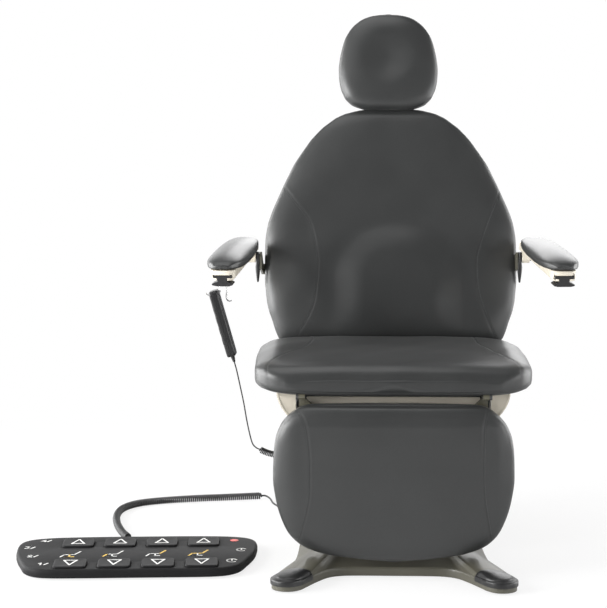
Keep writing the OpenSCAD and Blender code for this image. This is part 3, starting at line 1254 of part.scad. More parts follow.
// Sockets on the base: the foot control's at the side, the mains inlet behind
pedal_end = pedal_lead_b[len(pedal_lead_b) - 1];
module at_socket() translate([-base_half_w * socket_share, pedal_end[1], pedal_end[2]]) children();
module socket_body(g) at_socket() x_bar(-side_gap, socket_deep, socket_r + g);
module inlet_body(g) block(-inlet_half - g, inlet_half + g, base_mid_y + base_half_len * base_shares[0][1]
    - inlet_deep, base_mid_y + base_half_len * base_shares[0][1] + side_gap, inlet_z - g, inlet_z + inlet_h + g);
module base_sockets() color(near_black) {
    socket_body(0);
    at_socket() rotate([0, -90, 0]) cylinder(r1 = relief_root_r, r2 = relief_tip_r, h = relief_len + seat_gap);
    inlet_body(0);
}
module control_box() color(steel) block(-box_half_w, box_half_w, head_front_y - box_gap - box_d,
    head_front_y - box_gap, column_z + seat_gap, column_z + box_h);

base_frame();
base_cover();
foot_caps();
glides();
column_outer();
lift_cylinder();
shroud_lower();
control_box();
base_sockets();
pedal_base();
pedal_housing();
pedal_relief();
pedal_lead();
pedal_coil();
pedal_button_1();
pedal_button_2();
pedal_button_3();
pedal_button_4();
pedal_button_5();
pedal_button_6();
pedal_button_7();
pedal_button_8();
column_mid();
lift_stage();
shroud_mid();
column_inner();
lift_rod();
shroud_top();
lift_head();
tilt_actuator();
tilt_rod();
seat_frame();
seat_cushion();
seat_skirt();
leg_actuator();
back_actuator();
pendant_socket();
pendant_lead();
pendant_coil();
leg_rod();
back_rod();
leg_frame();
leg_cushion();
back_frame();
back_cover();
back_cushion();
arm_brackets();
head_post();
head_plate();
head_cushion();
arm_shell_right();
arm_pad_right();
arm_lever_right();
arm_clamp_right();
arm_shell_left();
arm_pad_left();
arm_lever_left();
arm_clamp_left();
pendant_hook();
pendant();
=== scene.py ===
"""Looks of a powered procedure chair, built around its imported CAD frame.

Every object is in metres in the frame's own axes: the chair faces -Y, +X is to the viewer's right and
the floor is at z = 0. The cushions, cords, base cover, foot control and pendant are built here, and every
other rigid node is shown as a copy of its own mesh with rounded edges and a finish.
"""

import json
import logging
import math
from dataclasses import dataclass, field
from enum import Enum
from typing import Any, Callable, Dict, List, Optional, Sequence, Tuple

import bmesh
import bpy
import numpy as np
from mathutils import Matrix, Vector
from mathutils.bvhtree import BVHTree

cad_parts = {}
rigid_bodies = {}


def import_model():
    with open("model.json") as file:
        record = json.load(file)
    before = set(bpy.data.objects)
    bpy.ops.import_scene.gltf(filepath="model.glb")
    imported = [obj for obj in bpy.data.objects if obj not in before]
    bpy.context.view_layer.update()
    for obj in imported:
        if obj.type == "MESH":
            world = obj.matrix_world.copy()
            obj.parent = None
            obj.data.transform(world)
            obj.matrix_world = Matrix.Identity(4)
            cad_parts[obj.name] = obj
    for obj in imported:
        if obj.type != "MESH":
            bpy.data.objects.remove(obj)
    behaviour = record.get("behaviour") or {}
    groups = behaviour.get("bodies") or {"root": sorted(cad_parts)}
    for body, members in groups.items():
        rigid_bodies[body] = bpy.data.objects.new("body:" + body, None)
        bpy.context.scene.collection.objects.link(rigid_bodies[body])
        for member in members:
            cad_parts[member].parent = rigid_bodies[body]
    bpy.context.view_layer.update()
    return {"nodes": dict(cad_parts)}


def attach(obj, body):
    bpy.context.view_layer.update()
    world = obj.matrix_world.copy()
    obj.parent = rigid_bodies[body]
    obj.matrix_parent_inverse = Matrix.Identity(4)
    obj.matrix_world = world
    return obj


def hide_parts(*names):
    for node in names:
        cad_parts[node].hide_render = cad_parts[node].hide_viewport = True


LOG = logging.getLogger("procedure_chair")
Point = Tuple[float, float, float]
Colour = Tuple[float, float, float]
MM = 0.001


class Slot(Enum):
    """Material slots of the frame's record."""

    VINYL = "vinyl"
    CREAM = "cream"
    OLIVE = "olive"
    OLIVE_DARK = "olive_dark"
    NEAR_BLACK = "near_black"
    KEYS = "keys"
    STEEL = "steel"
    DARK_STEEL = "dark_steel"
    CORD = "cord"
    WIRE = "wire"


class Ink(Enum):
    """Colours of the print on the foot control and the pendant."""

    WHITE = (0.80, 0.80, 0.78)
    YELLOW = (0.78, 0.50, 0.06)
    RED = (0.80, 0.14, 0.13)


# Shader trees


class Sock:
    """A shader socket on which plain arithmetic adds Math nodes."""

    def __init__(self, graph: "Graph", socket: bpy.types.NodeSocket) -> None:
        """Keeps the socket and the tree it belongs to."""
        self.graph = graph
        self.socket = socket

    def _math(self, operation: str, first: Any, second: Any = None) -> "Sock":
        """Adds one Math node.

        Args:
            operation: The node's operation.
            first: A socket or number.
            second: A socket or number, or None where the operation takes one value.

        Returns:
            The node's result.
        """
        values = {0: first} if second is None else {0: first, 1: second}
        return self.graph.node("ShaderNodeMath", {"operation": operation}, values, "Value")

    def __add__(self, other: Any) -> "Sock":
        """Sum."""
        return self._math("ADD", self, other)

    __radd__ = __add__

    def __mul__(self, other: Any) -> "Sock":
        """Product."""
        return self._math("MULTIPLY", self, other)

    __rmul__ = __mul__

    def __sub__(self, other: Any) -> "Sock":
        """Difference."""
        return self._math("SUBTRACT", self, other)

    def __rsub__(self, other: Any) -> "Sock":
        """Difference from a number."""
        return self._math("SUBTRACT", other, self)

    def ramp(self, low: float, high: float) -> "Sock":
        """Smooth step from 0 at low to 1 at high."""
        return self.graph.node("ShaderNodeMapRange", {"interpolation_type": "SMOOTHSTEP"},
                               {"Value": self, "From Min": low, "From Max": high}, "Result")


class Graph:
    """One material's node tree with a Principled shader."""

    def __init__(self, name: str) -> None:
        """Starts an empty material.

        Args:
            name: Name of the material.
        """
        self.material = bpy.data.materials.new(name)
        self.material.use_nodes = True
        self.tree = self.material.node_tree
        self.tree.nodes.clear()
        self.shader = self.tree.nodes.new("ShaderNodeBsdfPrincipled")
        self.output = self.tree.nodes.new("ShaderNodeOutputMaterial")
        self.tree.links.new(self.shader.outputs["BSDF"], self.output.inputs["Surface"])

    def put(self, node: bpy.types.Node, key: Any, value: Any) -> None:
        """Sets or links one input of a node.

        Args:
            node: The node.
            key: The input's name or number.
            value: A Sock, number or tuple.
        """
        target = node.inputs[key]
        if isinstance(value, Sock):
            self.tree.links.new(value.socket, target)
        elif isinstance(value, tuple) and target.type == "RGBA" and len(value) == 3:
            target.default_value = (*value, 1.0)
        else:
            target.default_value = value

    def node(self, kind: str, settings: Dict[str, Any], values: Dict[Any, Any], out: Any) -> Sock:
        """Adds any node.

        Args:
            kind: The node's type.
            settings: Its settings, set before its sockets.
            values: Values or links of its sockets.
            out: Name or number of the output.

        Returns:
            That output.
        """
        node = self.tree.nodes.new(kind)
        for key, value in settings.items():
            setattr(node, key, value)
        for key, value in values.items():
            self.put(node, key, value)
        return Sock(self, node.outputs[out])

    def place(self) -> Sock:
        """Object coordinates."""
        return self.node("ShaderNodeTexCoord", {}, {}, "Object")

    def stretched(self, scale: Point) -> Sock:
        """Object coordinates times a scale on each axis."""
        return self.node("ShaderNodeMapping", {}, {"Vector": self.place(), "Scale": scale}, "Vector")

    def noise(self, scale: float, detail: float = 2.0, at: Optional[Sock] = None) -> Sock:
        """Noise of that many cells a metre."""
        return self.node("ShaderNodeTexNoise", {}, {"Vector": at or self.place(), "Scale": scale,
                                                     "Detail": detail}, "Fac")

    def blend(self, amount: Any, first: Any, second: Any) -> Sock:
        """Mix of two colours, the second where the amount is 1."""
        return self.node("ShaderNodeMix", {"data_type": "RGBA"}, {0: amount, 6: first, 7: second}, 2)

    def bump(self, height: Sock, strength: float, distance: float) -> None:
        """Puts a bump on the shader's normal.

        Args:
            height: Height from 0 to 1.
            strength: How strongly it shows.
            distance: Depth in metres of a height of 1.
        """
        normal = self.node("ShaderNodeBump", {}, {"Height": height, "Strength": strength,
                                                  "Distance": distance}, "Normal")
        self.put(self.shader, "Normal", normal)

    def surface(self, **values: Any) -> bpy.types.Material:
        """Sets the shader's inputs.

        Args:
            values: Each input's value or link, its name in small letters with underscores.

        Returns:
            The finished material.
        """
        for key, value in values.items():
            self.put(self.shader, key.replace("_", " ").title().replace("Ior", "IOR"), value)
        return self.material


# Finishes


@dataclass(frozen=True)
class Vinyl:
    """Coated upholstery vinyl with a fine grain, with painted shade darkening it down in its seams and welts.
    """

    colour: Colour = (0.027, 0.0280, 0.0277)
    grain: float = 850.0
    gloss_low: float = 0.33
    gloss_high: float = 0.43

    def build(self, name: str) -> bpy.types.Material:
        """Makes the material.

        Args:
            name: Name of the material.

        Returns:
            The material.
        """
        g = Graph(name)
        # The seam attribute is painted shade: it is high down in the seam grooves and along the welts, where
        # shade falls.
        seam = g.node("ShaderNodeAttribute", {"attribute_name": "seam"}, {}, "Fac")
        cells = g.node("ShaderNodeTexVoronoi", {"feature": "SMOOTH_F1"},
                       {"Vector": g.place(), "Scale": self.grain, "Smoothness": 0.7}, "Distance")
        pores = g.noise(2.4 * self.grain, 2.0)
        broad = g.noise(9.0, 3.0)
        lighter = tuple(1.10 * c for c in self.colour)
        darker = tuple(0.45 * c for c in self.colour)
        worn = g.blend(broad.ramp(0.35, 0.7), self.colour, lighter)
        height = 0.75 * cells + 0.25 * pores
        grained = g.blend(cells.ramp(0.25, 0.75) * 0.35, worn, darker)
        g.bump(height, 0.16, 0.25 * MM)
        # Painted shade: the colour goes darker where the seam attribute is high.
        return g.surface(base_color=g.blend(seam * 0.8, grained, darker),
                         roughness=self.gloss_low + (self.gloss_high - self.gloss_low) * broad + seam * 0.25,
                         sheen_weight=0.03, sheen_roughness=0.4)


@dataclass(frozen=True)
class MouldedPlastic:
    """Injection moulded plastic with a fine spark-eroded texture and faint handling marks."""

    colour: Colour
    texture: float = 1500.0
    roughness: float = 0.42
    relief: float = 0.14
    ior: float = 1.45

    def build(self, name: str) -> bpy.types.Material:
        """Makes the material.

        Args:
            name: Name of the material.

        Returns:
            The material.
        """
        g = Graph(name)
        fine = g.noise(self.texture, 3.0)
        marks = g.noise(26.0, 4.0)
        lighter = tuple(min(1.0, 1.015 * c + 0.001) for c in self.colour)
        darker = tuple(0.97 * c for c in self.colour)
        base = g.blend(marks.ramp(0.3, 0.7), darker, lighter)
        g.bump(fine, self.relief, 0.3 * MM)
        return g.surface(base_color=g.blend(fine.ramp(0.35, 0.65) * 0.25, base, darker),
                         roughness=self.roughness + 0.06 * marks - 0.03, ior=self.ior)


@dataclass(frozen=True)
class PowderCoat:
    """Powder-coated metal: a slight orange peel under a satin coat."""

    colour: Colour
    roughness: float = 0.38

    def build(self, name: str) -> bpy.types.Material:
        """Makes the material.

        Args:
            name: Name of the material.

        Returns:
            The material.
        """
        g = Graph(name)
        peel = g.noise(420.0, 2.0)
        speck = g.noise(2600.0, 1.0)
        dust = g.noise(12.0, 4.0)
        lighter = tuple(min(1.0, 1.12 * c + 0.004) for c in self.colour)
        g.bump(peel * 0.7 + speck * 0.3, 0.12, 0.3 * MM)
        return g.surface(base_color=g.blend(dust.ramp(0.4, 0.75) * 0.6, self.colour, lighter),
                         roughness=self.roughness + 0.12 * dust, coat_weight=0.12)


@dataclass(frozen=True)
class DrawnSteel:
    """Plated or ground steel with fine drawing lines."""

    colour: Colour = (0.52, 0.53, 0.54)
    lines: Point = (900.0, 900.0, 40.0)
    roughness: float = 0.26

    def build(self, name: str) -> bpy.types.Material:
        """Makes the material.

        Args:
            name: Name of the material.

        Returns:
            The material.
        """
        g = Graph(name)
        drawn = g.noise(1.0, 2.0, g.stretched(self.lines))
        smear = g.noise(30.0, 3.0)
        darker = tuple(0.82 * c for c in self.colour)
        g.bump(drawn, 0.06, 0.2 * MM)
        return g.surface(base_color=g.blend(drawn.ramp(0.3, 0.7) * 0.5, self.colour, darker), metallic=1.0,
                         roughness=self.roughness + 0.16 * smear)


@dataclass(frozen=True)
class SoftRubber:
    """Matt rubber or cord jacket with a faint skin."""

    colour: Colour = (0.012, 0.012, 0.0125)
    roughness: float = 0.46

    def build(self, name: str) -> bpy.types.Material:
        """Makes the material.

        Args:
            name: Name of the material.

        Returns:
            The material.
        """
        g = Graph(name)
        skin = g.noise(1200.0, 2.0)
        bloom = g.noise(60.0, 3.0)
        lighter = tuple(1.5 * c + 0.004 for c in self.colour)
        g.bump(skin, 0.10, 0.2 * MM)
        return g.surface(base_color=g.blend(bloom.ramp(0.4, 0.8) * 0.6, self.colour, lighter),
                         roughness=self.roughness + 0.12 * bloom)


@dataclass(frozen=True)
class PrintInk:
    """Screen-printed ink."""

    colour: Colour

    def build(self, name: str) -> bpy.types.Material:
        """Makes the material.

        Args:
            name: Name of the material.

        Returns:
            The material.
        """
        g = Graph(name)
        wear = g.noise(700.0, 3.0)
        thin = tuple(0.8 * c for c in self.colour)
        g.bump(wear, 0.05, 0.1 * MM)
        return g.surface(base_color=g.blend(wear.ramp(0.45, 0.75) * 0.6, self.colour, thin), roughness=0.5)


@dataclass(frozen=True)
class SewingThread:
    """Twisted thread of the topstitching."""

    colour: Colour = (0.062, 0.065, 0.065)

    def build(self, name: str) -> bpy.types.Material:
        """Makes the material.

        Args:
            name: Name of the material.

        Returns:
            The material.
        """
        g = Graph(name)
        twist = g.node("ShaderNodeTexWave", {"bands_direction": "DIAGONAL"},
                       {"Vector": g.place(), "Scale": 900.0, "Distortion": 1.0}, "Fac")
        lighter = tuple(1.5 * c for c in self.colour)
        g.bump(twist, 0.3, 0.15 * MM)
        return g.surface(base_color=g.blend(twist, self.colour, lighter), roughness=0.6)


class Finishes:
    """The finish of every slot, ink and thread, each made once."""

    RECIPES = {
        Slot.VINYL: Vinyl(),
        Slot.CREAM: MouldedPlastic((0.70, 0.645, 0.54), roughness=0.40),
        Slot.OLIVE: PowderCoat((0.076, 0.072, 0.053), roughness=0.42),
        Slot.OLIVE_DARK: PowderCoat((0.085, 0.080, 0.054)),
        Slot.NEAR_BLACK: MouldedPlastic((0.013, 0.013, 0.0135), roughness=0.36),
        Slot.KEYS: MouldedPlastic((0.013, 0.013, 0.0135), texture=1100.0, roughness=0.55, relief=0.2,
                                  ior=1.22),
        Slot.STEEL: DrawnSteel(),
        Slot.DARK_STEEL: PowderCoat((0.038, 0.038, 0.040)),
        Slot.CORD: SoftRubber(),
        Slot.WIRE: DrawnSteel((0.60, 0.60, 0.60), (300.0, 300.0, 300.0), 0.16),
        Ink.WHITE: PrintInk(Ink.WHITE.value),
        Ink.YELLOW: PrintInk(Ink.YELLOW.value),
        Ink.RED: PrintInk(Ink.RED.value),
        "thread": SewingThread(),
        "foot_control": MouldedPlastic((0.010, 0.010, 0.0105), texture=1000.0, roughness=0.62, relief=0.3,
                                       ior=1.2),
    }

    def __init__(self) -> None:
        """Starts with nothing made."""
        self.made: Dict[Any, bpy.types.Material] = {}

    def get(self, key: Any) -> bpy.types.Material:
        """Finds a material, and makes it the first time.

        Args:
            key: A slot, an ink, or the name of another finish.

        Returns:
            The material.
        """
        if key not in self.made:
            name = key if isinstance(key, str) else key.name.lower()
            self.made[key] = self.RECIPES[key].build(f"{name}_finish")
        return self.made[key]


FINISH = Finishes()


# Mesh tools


def linked(name: str, data: bpy.types.ID) -> bpy.types.Object:
    """Makes an object of some data and links it to the scene.

    Args:
        name: Name of the object.
        data: Its mesh, curve, camera or lamp.

    Returns:
        The object.
    """
    obj = bpy.data.objects.new(name, data)
    bpy.context.scene.collection.objects.link(obj)
    return obj


def mesh_object(name: str, verts: Any, faces: Sequence[Sequence[int]], material: bpy.types.Material,
                smooth_angle: float = 180.0, recalculate: bool = True) -> bpy.types.Object:
    """Makes an object at the origin from points and faces.

    Args:
        name: Name of the object.
        verts: Points in metres.
        faces: Corner numbers of each face.
        material: Its material.
        smooth_angle: Edges sharper than this, in degrees, stay crisp.
        recalculate: Whether the normals are turned outward.

    Returns:
        The object, linked to the scene.
    """
    mesh = bpy.data.meshes.new(name)
    mesh.from_pydata([tuple(map(float, v)) for v in verts], [], [tuple(int(i) for i in f) for f in faces])
    if recalculate:
        tidy = bmesh.new()
        tidy.from_mesh(mesh)
        bmesh.ops.recalc_face_normals(tidy, faces=tidy.faces)
        tidy.to_mesh(mesh)
        tidy.free()
    mesh.materials.append(material)
    mesh.shade_smooth()
    if smooth_angle < 180.0:
        mesh.set_sharp_from_angle(angle=math.radians(smooth_angle))
    return linked(name, mesh)


def finish_piece(obj: bpy.types.Object, body: str, slot: Slot, *nodes: str) -> bpy.types.Object:
    """Rides a piece on its body, hides the nodes it stands for and logs it.

    Args:
        obj: The piece.
        body: Body that it rides on.
        slot: Its material slot; not used.
        nodes: CAD nodes it stands for.

    Returns:
        The piece.
    """
    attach(obj, body)
    if nodes:
        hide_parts(*nodes)
    LOG.info("%s rides on %s", obj.name, body)
    return obj


def monotone(x: np.ndarray, y: np.ndarray, at: np.ndarray) -> np.ndarray:
    """Smooth curve through rows of values that never overshoots them.

    Args:
        x: Places of the rows, rising.
        y: One row of values for each place.
        at: Places asked for.

    Returns:
        One row for each place asked for.
    """
    step = np.diff(x)[:, None]
    slope = np.diff(y, axis=0) / step
    tangent = np.zeros_like(y)
    tangent[0], tangent[-1] = slope[0], slope[-1]
    a, b = slope[:-1], slope[1:]
    same = a * b > 0
    w1, w2 = 2 * step[1:] + step[:-1], step[1:] + 2 * step[:-1]
    safe_a, safe_b = np.where(same, a, 1.0), np.where(same, b, 1.0)
    tangent[1:-1] = np.where(same, (w1 + w2) / (w1 / safe_a + w2 / safe_b), 0.0)
    k = np.clip(np.searchsorted(x, at, side="right") - 1, 0, len(x) - 2)
    h = (x[k + 1] - x[k])[:, None]
    t = ((at - x[k])[:, None]) / h
    return ((1 + 2 * t) * (1 - t) ** 2 * y[k] + t * (1 - t) ** 2 * h * tangent[k]
            + t * t * (3 - 2 * t) * y[k + 1] + t * t * (t - 1) * h * tangent[k + 1])


def round_curve(points: Sequence[Sequence[float]], steps: int, closed: bool = False) -> np.ndarray:
    """Round curve through given points, as in the part's source.

    Args:
        points: The points, in order.
        steps: Steps from one point to the next.
        closed: Whether the curve runs on from the last point to the first.

    Returns:
        Points of the curve; those of a closed one end before its start comes again.
    """
    p = np.asarray(points, dtype=float)
    count, last = len(p), len(p) - 1
    out = []
    for i in range(count if closed else last):
        around = [(i + k) % count if closed else min(max(i + k, 0), last) for k in (-1, 0, 1, 2)]
        a, b, c, d = p[around]
        for k in range(steps):
            t = k / steps
            out.append((2 * b + (c - a) * t + (2 * a - 5 * b + 4 * c - d) * t * t
                        + (3 * b - a - 3 * c + d) * t ** 3) / 2)
    return np.array(out if closed else out + [p[-1]])


def even_lengths(points: np.ndarray, count: int) -> np.ndarray:
    """Spaces the points of a line evenly.

    Args:
        points: Points of the line.
        count: Number of points wanted.

    Returns:
        Points of the same line, an even length apart.
    """
    run = np.concatenate([[0], np.cumsum(np.linalg.norm(np.diff(points, axis=0), axis=1))])
    at = np.linspace(0, run[-1], count)
    return np.stack([np.interp(at, run, points[:, c]) for c in range(points.shape[1])], axis=1)


def round_rect(half_w: float, half_d: float, radius: float, steps: int = 8) -> np.ndarray:
    """Makes a rectangle with round corners about the origin.

    Args:
        half_w: Half its width.
        half_d: Half its depth.
        radius: Radius of the corners.
        steps: Steps round each corner.

    Returns:
        Its points, in order.
    """
    out = []
    for quarter, (sx, sy) in enumerate(((1, 1), (-1, 1), (-1, -1), (1, -1))):
        for i in range(steps + 1):
            a = math.radians(90 * quarter + 90 * i / steps)
            out.append((sx * (half_w - radius) + radius * math.cos(a),
                        sy * (half_d - radius) + radius * math.sin(a)))
    return np.array(out)


def grown(ring: np.ndarray, grow: float) -> np.ndarray:
    """Moves a ring outward along its own normals.

    Args:
        ring: Flat ring of points, anticlockwise.
        grow: Distance in metres.

    Returns:
        The moved ring.
    """
    d = np.roll(ring, -1, axis=0) - np.roll(ring, 1, axis=0)
    d /= np.linalg.norm(d, axis=1)[:, None]
    return ring + grow * np.stack([d[:, 1], -d[:, 0]], axis=1)


def level(ring: np.ndarray, z: Any) -> np.ndarray:
    """A flat ring of points at a height, or at a height of its own for each point."""
    return np.column_stack([ring, np.broadcast_to(z, len(ring))])


def upright(ring: np.ndarray, x: float) -> np.ndarray:
    """A flat ring of points stood on edge at a place across."""
    return np.column_stack([np.full(len(ring), x), ring])


def skin_faces(rows: int, ring: int, caps: bool = True, wrap: bool = False) -> List[Tuple[int, ...]]:
    """Makes the faces of a grid of rings.

    Args:
        rows: Number of rings.
        ring: Points in each ring.
        caps: Whether fans close both ends, about two more points after the rings.
        wrap: Whether the last ring joins the first instead.

    Returns:
        Corner numbers of each face.
    """
    faces: List[Tuple[int, ...]] = []
    for k in range(rows if wrap else rows - 1):
        k2 = (k + 1) % rows
        faces += [(k * ring + i, k * ring + (i + 1) % ring, k2 * ring + (i + 1) % ring, k2 * ring + i)
                  for i in range(ring)]
    if caps and not wrap:
        faces += [(rows * ring, (i + 1) % ring, i) for i in range(ring)]
        low = (rows - 1) * ring
        faces += [(rows * ring + 1, low + i, low + (i + 1) % ring) for i in range(ring)]
    return faces


def lofted(name: str, forms: Sequence[Sequence[np.ndarray]], material: bpy.types.Material,
           smooth_angle: float = 40.0) -> bpy.types.Object:
    """Makes one object of closed skins through rings, with a fan over each end.

    Args:
        name: Name of the object.
        forms: The rings of each form, all of one length.
        material: Its material.
        smooth_angle: Edges sharper than this, in degrees, stay crisp.

    Returns:
        The object.
    """
    verts: List[np.ndarray] = []
    faces: List[Tuple[int, ...]] = []
    for rings in forms:
        start = sum(len(v) for v in verts)
        verts.append(np.concatenate([*rings, [rings[0].mean(axis=0)], [rings[-1].mean(axis=0)]]))
        faces += [tuple(start + i for i in f) for f in skin_faces(len(rings), len(rings[0]))]
    return mesh_object(name, np.concatenate(verts), faces, material, smooth_angle)


def bmesh_object(name: str, work: bmesh.types.BMesh, material: bpy.types.Material,
                 smooth_angle: float) -> bpy.types.Object:
    """Makes an object of a mesh that is being edited, and ends the editing.

    Args:
        name: Name of the object.
        work: The mesh that is being edited.
        material: Its material.
        smooth_angle: Edges sharper than this, in degrees, stay crisp.

    Returns:
        The object.
    """
    mesh = bpy.data.meshes.new(name)
    work.to_mesh(mesh)
    work.free()
    mesh.materials.append(material)
    mesh.shade_smooth()
    mesh.set_sharp_from_angle(angle=math.radians(smooth_angle))
    return linked(name, mesh)


def rounded_copy(node: str, body: str, slot: Slot, radius: float = 0.7 * MM) -> bpy.types.Object:
    """Shows a rigid node as a copy of its mesh with small round edges.

    Args:
        node: Name of the CAD node.
        body: Body that it rides on.
        slot: Its material slot.
        radius: Width of the rounding in metres.

    Returns:
        The new piece.
    """
    source = FRAME["nodes"][node]
    work = bmesh.new()
    work.from_mesh(source.data)
    bmesh.ops.remove_doubles(work, verts=work.verts, dist=1e-6)
    bmesh.ops.dissolve_limit(work, angle_limit=math.radians(0.4), verts=work.verts, edges=work.edges)
    obj = bmesh_object(f"{node}_finished", work, FINISH.get(slot), 33)
    bevel = obj.modifiers.new("round_edges", "BEVEL")
    bevel.width = radius
    bevel.segments = 2
    bevel.limit_method = "ANGLE"
    bevel.angle_limit = math.radians(32)
    bevel.use_clamp_overlap = True
    return finish_piece(obj, body, slot, node)


# Geometry Nodes


class LineRepeater:
    """A node tree that lays one small round-ended shape along lines at an even spacing."""

    def __init__(self) -> None:
        """Builds the tree with its named inputs."""
        tree = bpy.data.node_groups.new("repeat_along_line", "GeometryNodeTree")
        self.tree = tree
        make = tree.interface.new_socket
        make("Geometry", in_out="INPUT", socket_type="NodeSocketGeometry")
        self.ids = {}
        for label in ("Spacing", "Half Length", "Half Width", "Half Height"):
            self.ids[label] = make(label, in_out="INPUT", socket_type="NodeSocketFloat").identifier
        self.ids["Material"] = make("Material", in_out="INPUT", socket_type="NodeSocketMaterial").identifier
        make("Geometry", in_out="OUTPUT", socket_type="NodeSocketGeometry")
        add, link = tree.nodes.new, tree.links.new
        source, result = add("NodeGroupInput"), add("NodeGroupOutput")
        line = add("GeometryNodeMeshToCurve")
        link(source.outputs["Geometry"], line.inputs["Mesh"])
        even = add("GeometryNodeResampleCurve")
        even.mode = "LENGTH"
        link(line.outputs["Curve"], even.inputs["Curve"])
        link(source.outputs["Spacing"], even.inputs["Length"])
        bead = add("GeometryNodeMeshUVSphere")
        bead.inputs["Segments"].default_value = 8
        bead.inputs["Rings"].default_value = 5
        bead.inputs["Radius"].default_value = 1.0
        smooth = add("GeometryNodeSetShadeSmooth")
        link(bead.outputs["Mesh"], smooth.inputs["Geometry"])
        tangent = add("GeometryNodeInputTangent")
        up = add("GeometryNodeInputNamedAttribute")
        up.data_type = "FLOAT_VECTOR"
        up.inputs["Name"].default_value = "up"
        turn = add("FunctionNodeAxesToRotation")
        turn.primary_axis, turn.secondary_axis = "X", "Z"
        link(tangent.outputs["Tangent"], turn.inputs[0])
        link(up.outputs["Attribute"], turn.inputs[1])
        size = add("ShaderNodeCombineXYZ")
        for axis, label in zip("XYZ", ("Half Length", "Half Width", "Half Height")):
            link(source.outputs[label], size.inputs[axis])
        place = add("GeometryNodeInstanceOnPoints")
        link(even.outputs["Curve"], place.inputs["Points"])
        link(smooth.outputs["Geometry"], place.inputs["Instance"])
        link(turn.outputs["Rotation"], place.inputs["Rotation"])
        link(size.outputs["Vector"], place.inputs["Scale"])
        real = add("GeometryNodeRealizeInstances")
        link(place.outputs["Instances"], real.inputs["Geometry"])
        dress = add("GeometryNodeSetMaterial")
        link(real.outputs["Geometry"], dress.inputs["Geometry"])
        link(source.outputs["Material"], dress.inputs["Material"])
        link(dress.outputs["Geometry"], result.inputs["Geometry"])

    def lay(self, name: str, lines: Sequence[Tuple[np.ndarray, np.ndarray]], sizes: Dict[str, float],
            material: bpy.types.Material) -> bpy.types.Object:
        """Lays the shape along lines.

        Args:
            name: Name of the new object.
            lines: Points and outward directions of each line.
            sizes: Value of each named size.
            material: Material of the shapes.

        Returns:
            A plain mesh object.
        """
        verts = np.concatenate([p for p, _ in lines])
        ups = np.concatenate([u for _, u in lines])
        edges, start = [], 0
        for points, _ in lines:
            edges += [(start + i, start + i + 1) for i in range(len(points) - 1)]
            start += len(points)
        guide = bpy.data.meshes.new(f"{name}_guide")
        guide.from_pydata([tuple(map(float, v)) for v in verts], edges, [])
        up = guide.attributes.new("up", "FLOAT_VECTOR", "POINT")
        up.data.foreach_set("vector", ups.astype(np.float32).ravel())
        carrier = linked(f"{name}_guide", guide)
        modifier = carrier.modifiers.new("repeat", "NODES")
        modifier.node_group = self.tree
        for label, value in sizes.items():
            modifier[self.ids[label]] = value
        modifier[self.ids["Material"]] = material
        graph = bpy.context.evaluated_depsgraph_get()
        graph.update()
        mesh = bpy.data.meshes.new_from_object(carrier.evaluated_get(graph), depsgraph=graph)
        mesh.name = name
        carrier.modifiers.remove(modifier)
        bpy.data.objects.remove(carrier)
        bpy.data.meshes.remove(guide)
        return linked(name, mesh)


# Padded forms

PAD_POWER = 4.0
PAD_BACK_POWER = 8.0
Line2 = Sequence[Tuple[float, float]]
Field = Callable[[np.ndarray, np.ndarray], np.ndarray]


def dome(u: np.ndarray, power: float) -> np.ndarray:
    """Height of a round-shouldered section at a share of its half width."""
    return np.maximum(0.0, 1.0 - np.abs(u) ** power) ** (1.0 / power)


def section_places(count: int, slimness: float, power: float) -> np.ndarray:
    """Shares of the half width that are evenly spaced along a domed section.

    Args:
        count: Number of places across the whole width.
        slimness: Height of the section over its half width.
        power: Power of its dome.

    Returns:
        Shares from -1 to 1.
    """
    turn = np.linspace(0, math.pi / 2, 3000)
    u = np.sin(turn) ** (2 / power)
    h = dome(u, power) * slimness
    run = np.concatenate([[0], np.cumsum(np.hypot(np.diff(u), np.diff(h)))])
    half = np.interp(np.linspace(0, run[-1], count // 2 + 1), run, u)
    return np.concatenate([-half[:0:-1], half])


def line_distance(x: np.ndarray, a: np.ndarray, line: np.ndarray) -> np.ndarray:
    """Measures how far points are from a line in the plane of a cushion's face.

    Args:
        x: Places across.
        a: Places along.
        line: Points of the line.

    Returns:
        Distances in metres.
    """
    best = np.full(x.shape, 1e9)
    for (x0, a0), (x1, a1) in zip(line[:-1], line[1:]):
        dx, da = x1 - x0, a1 - a0
        t = np.clip(((x - x0) * dx + (a - a0) * da) / (dx * dx + da * da + 1e-12), 0, 1)
        best = np.minimum(best, np.hypot(x - x0 - t * dx, a - a0 - t * da))
    return best


def smooth_step(low: float, high: float, value: np.ndarray) -> np.ndarray:
    """0 below low, 1 above high, smooth between."""
    t = np.clip((value - low) / (high - low), 0, 1)
    return t * t * (3 - 2 * t)


def bell(value: np.ndarray, width: float) -> np.ndarray:
    """1 at zero, falling off smoothly over a width."""
    return np.exp(-(value / width) ** 2)


@dataclass
class Seam:
    """A sewn seam across a cushion's face, as listed points (across, along) in metres."""

    points: Line2
    depth: float = 0.9 * MM
    half_width: float = 1.3 * MM
    puff: float = 0.15 * MM
    stitched: float = 0.0

    def curve(self) -> np.ndarray:
        """The seam as an even round line."""
        return even_lengths(round_curve(self.points, 12), 60)


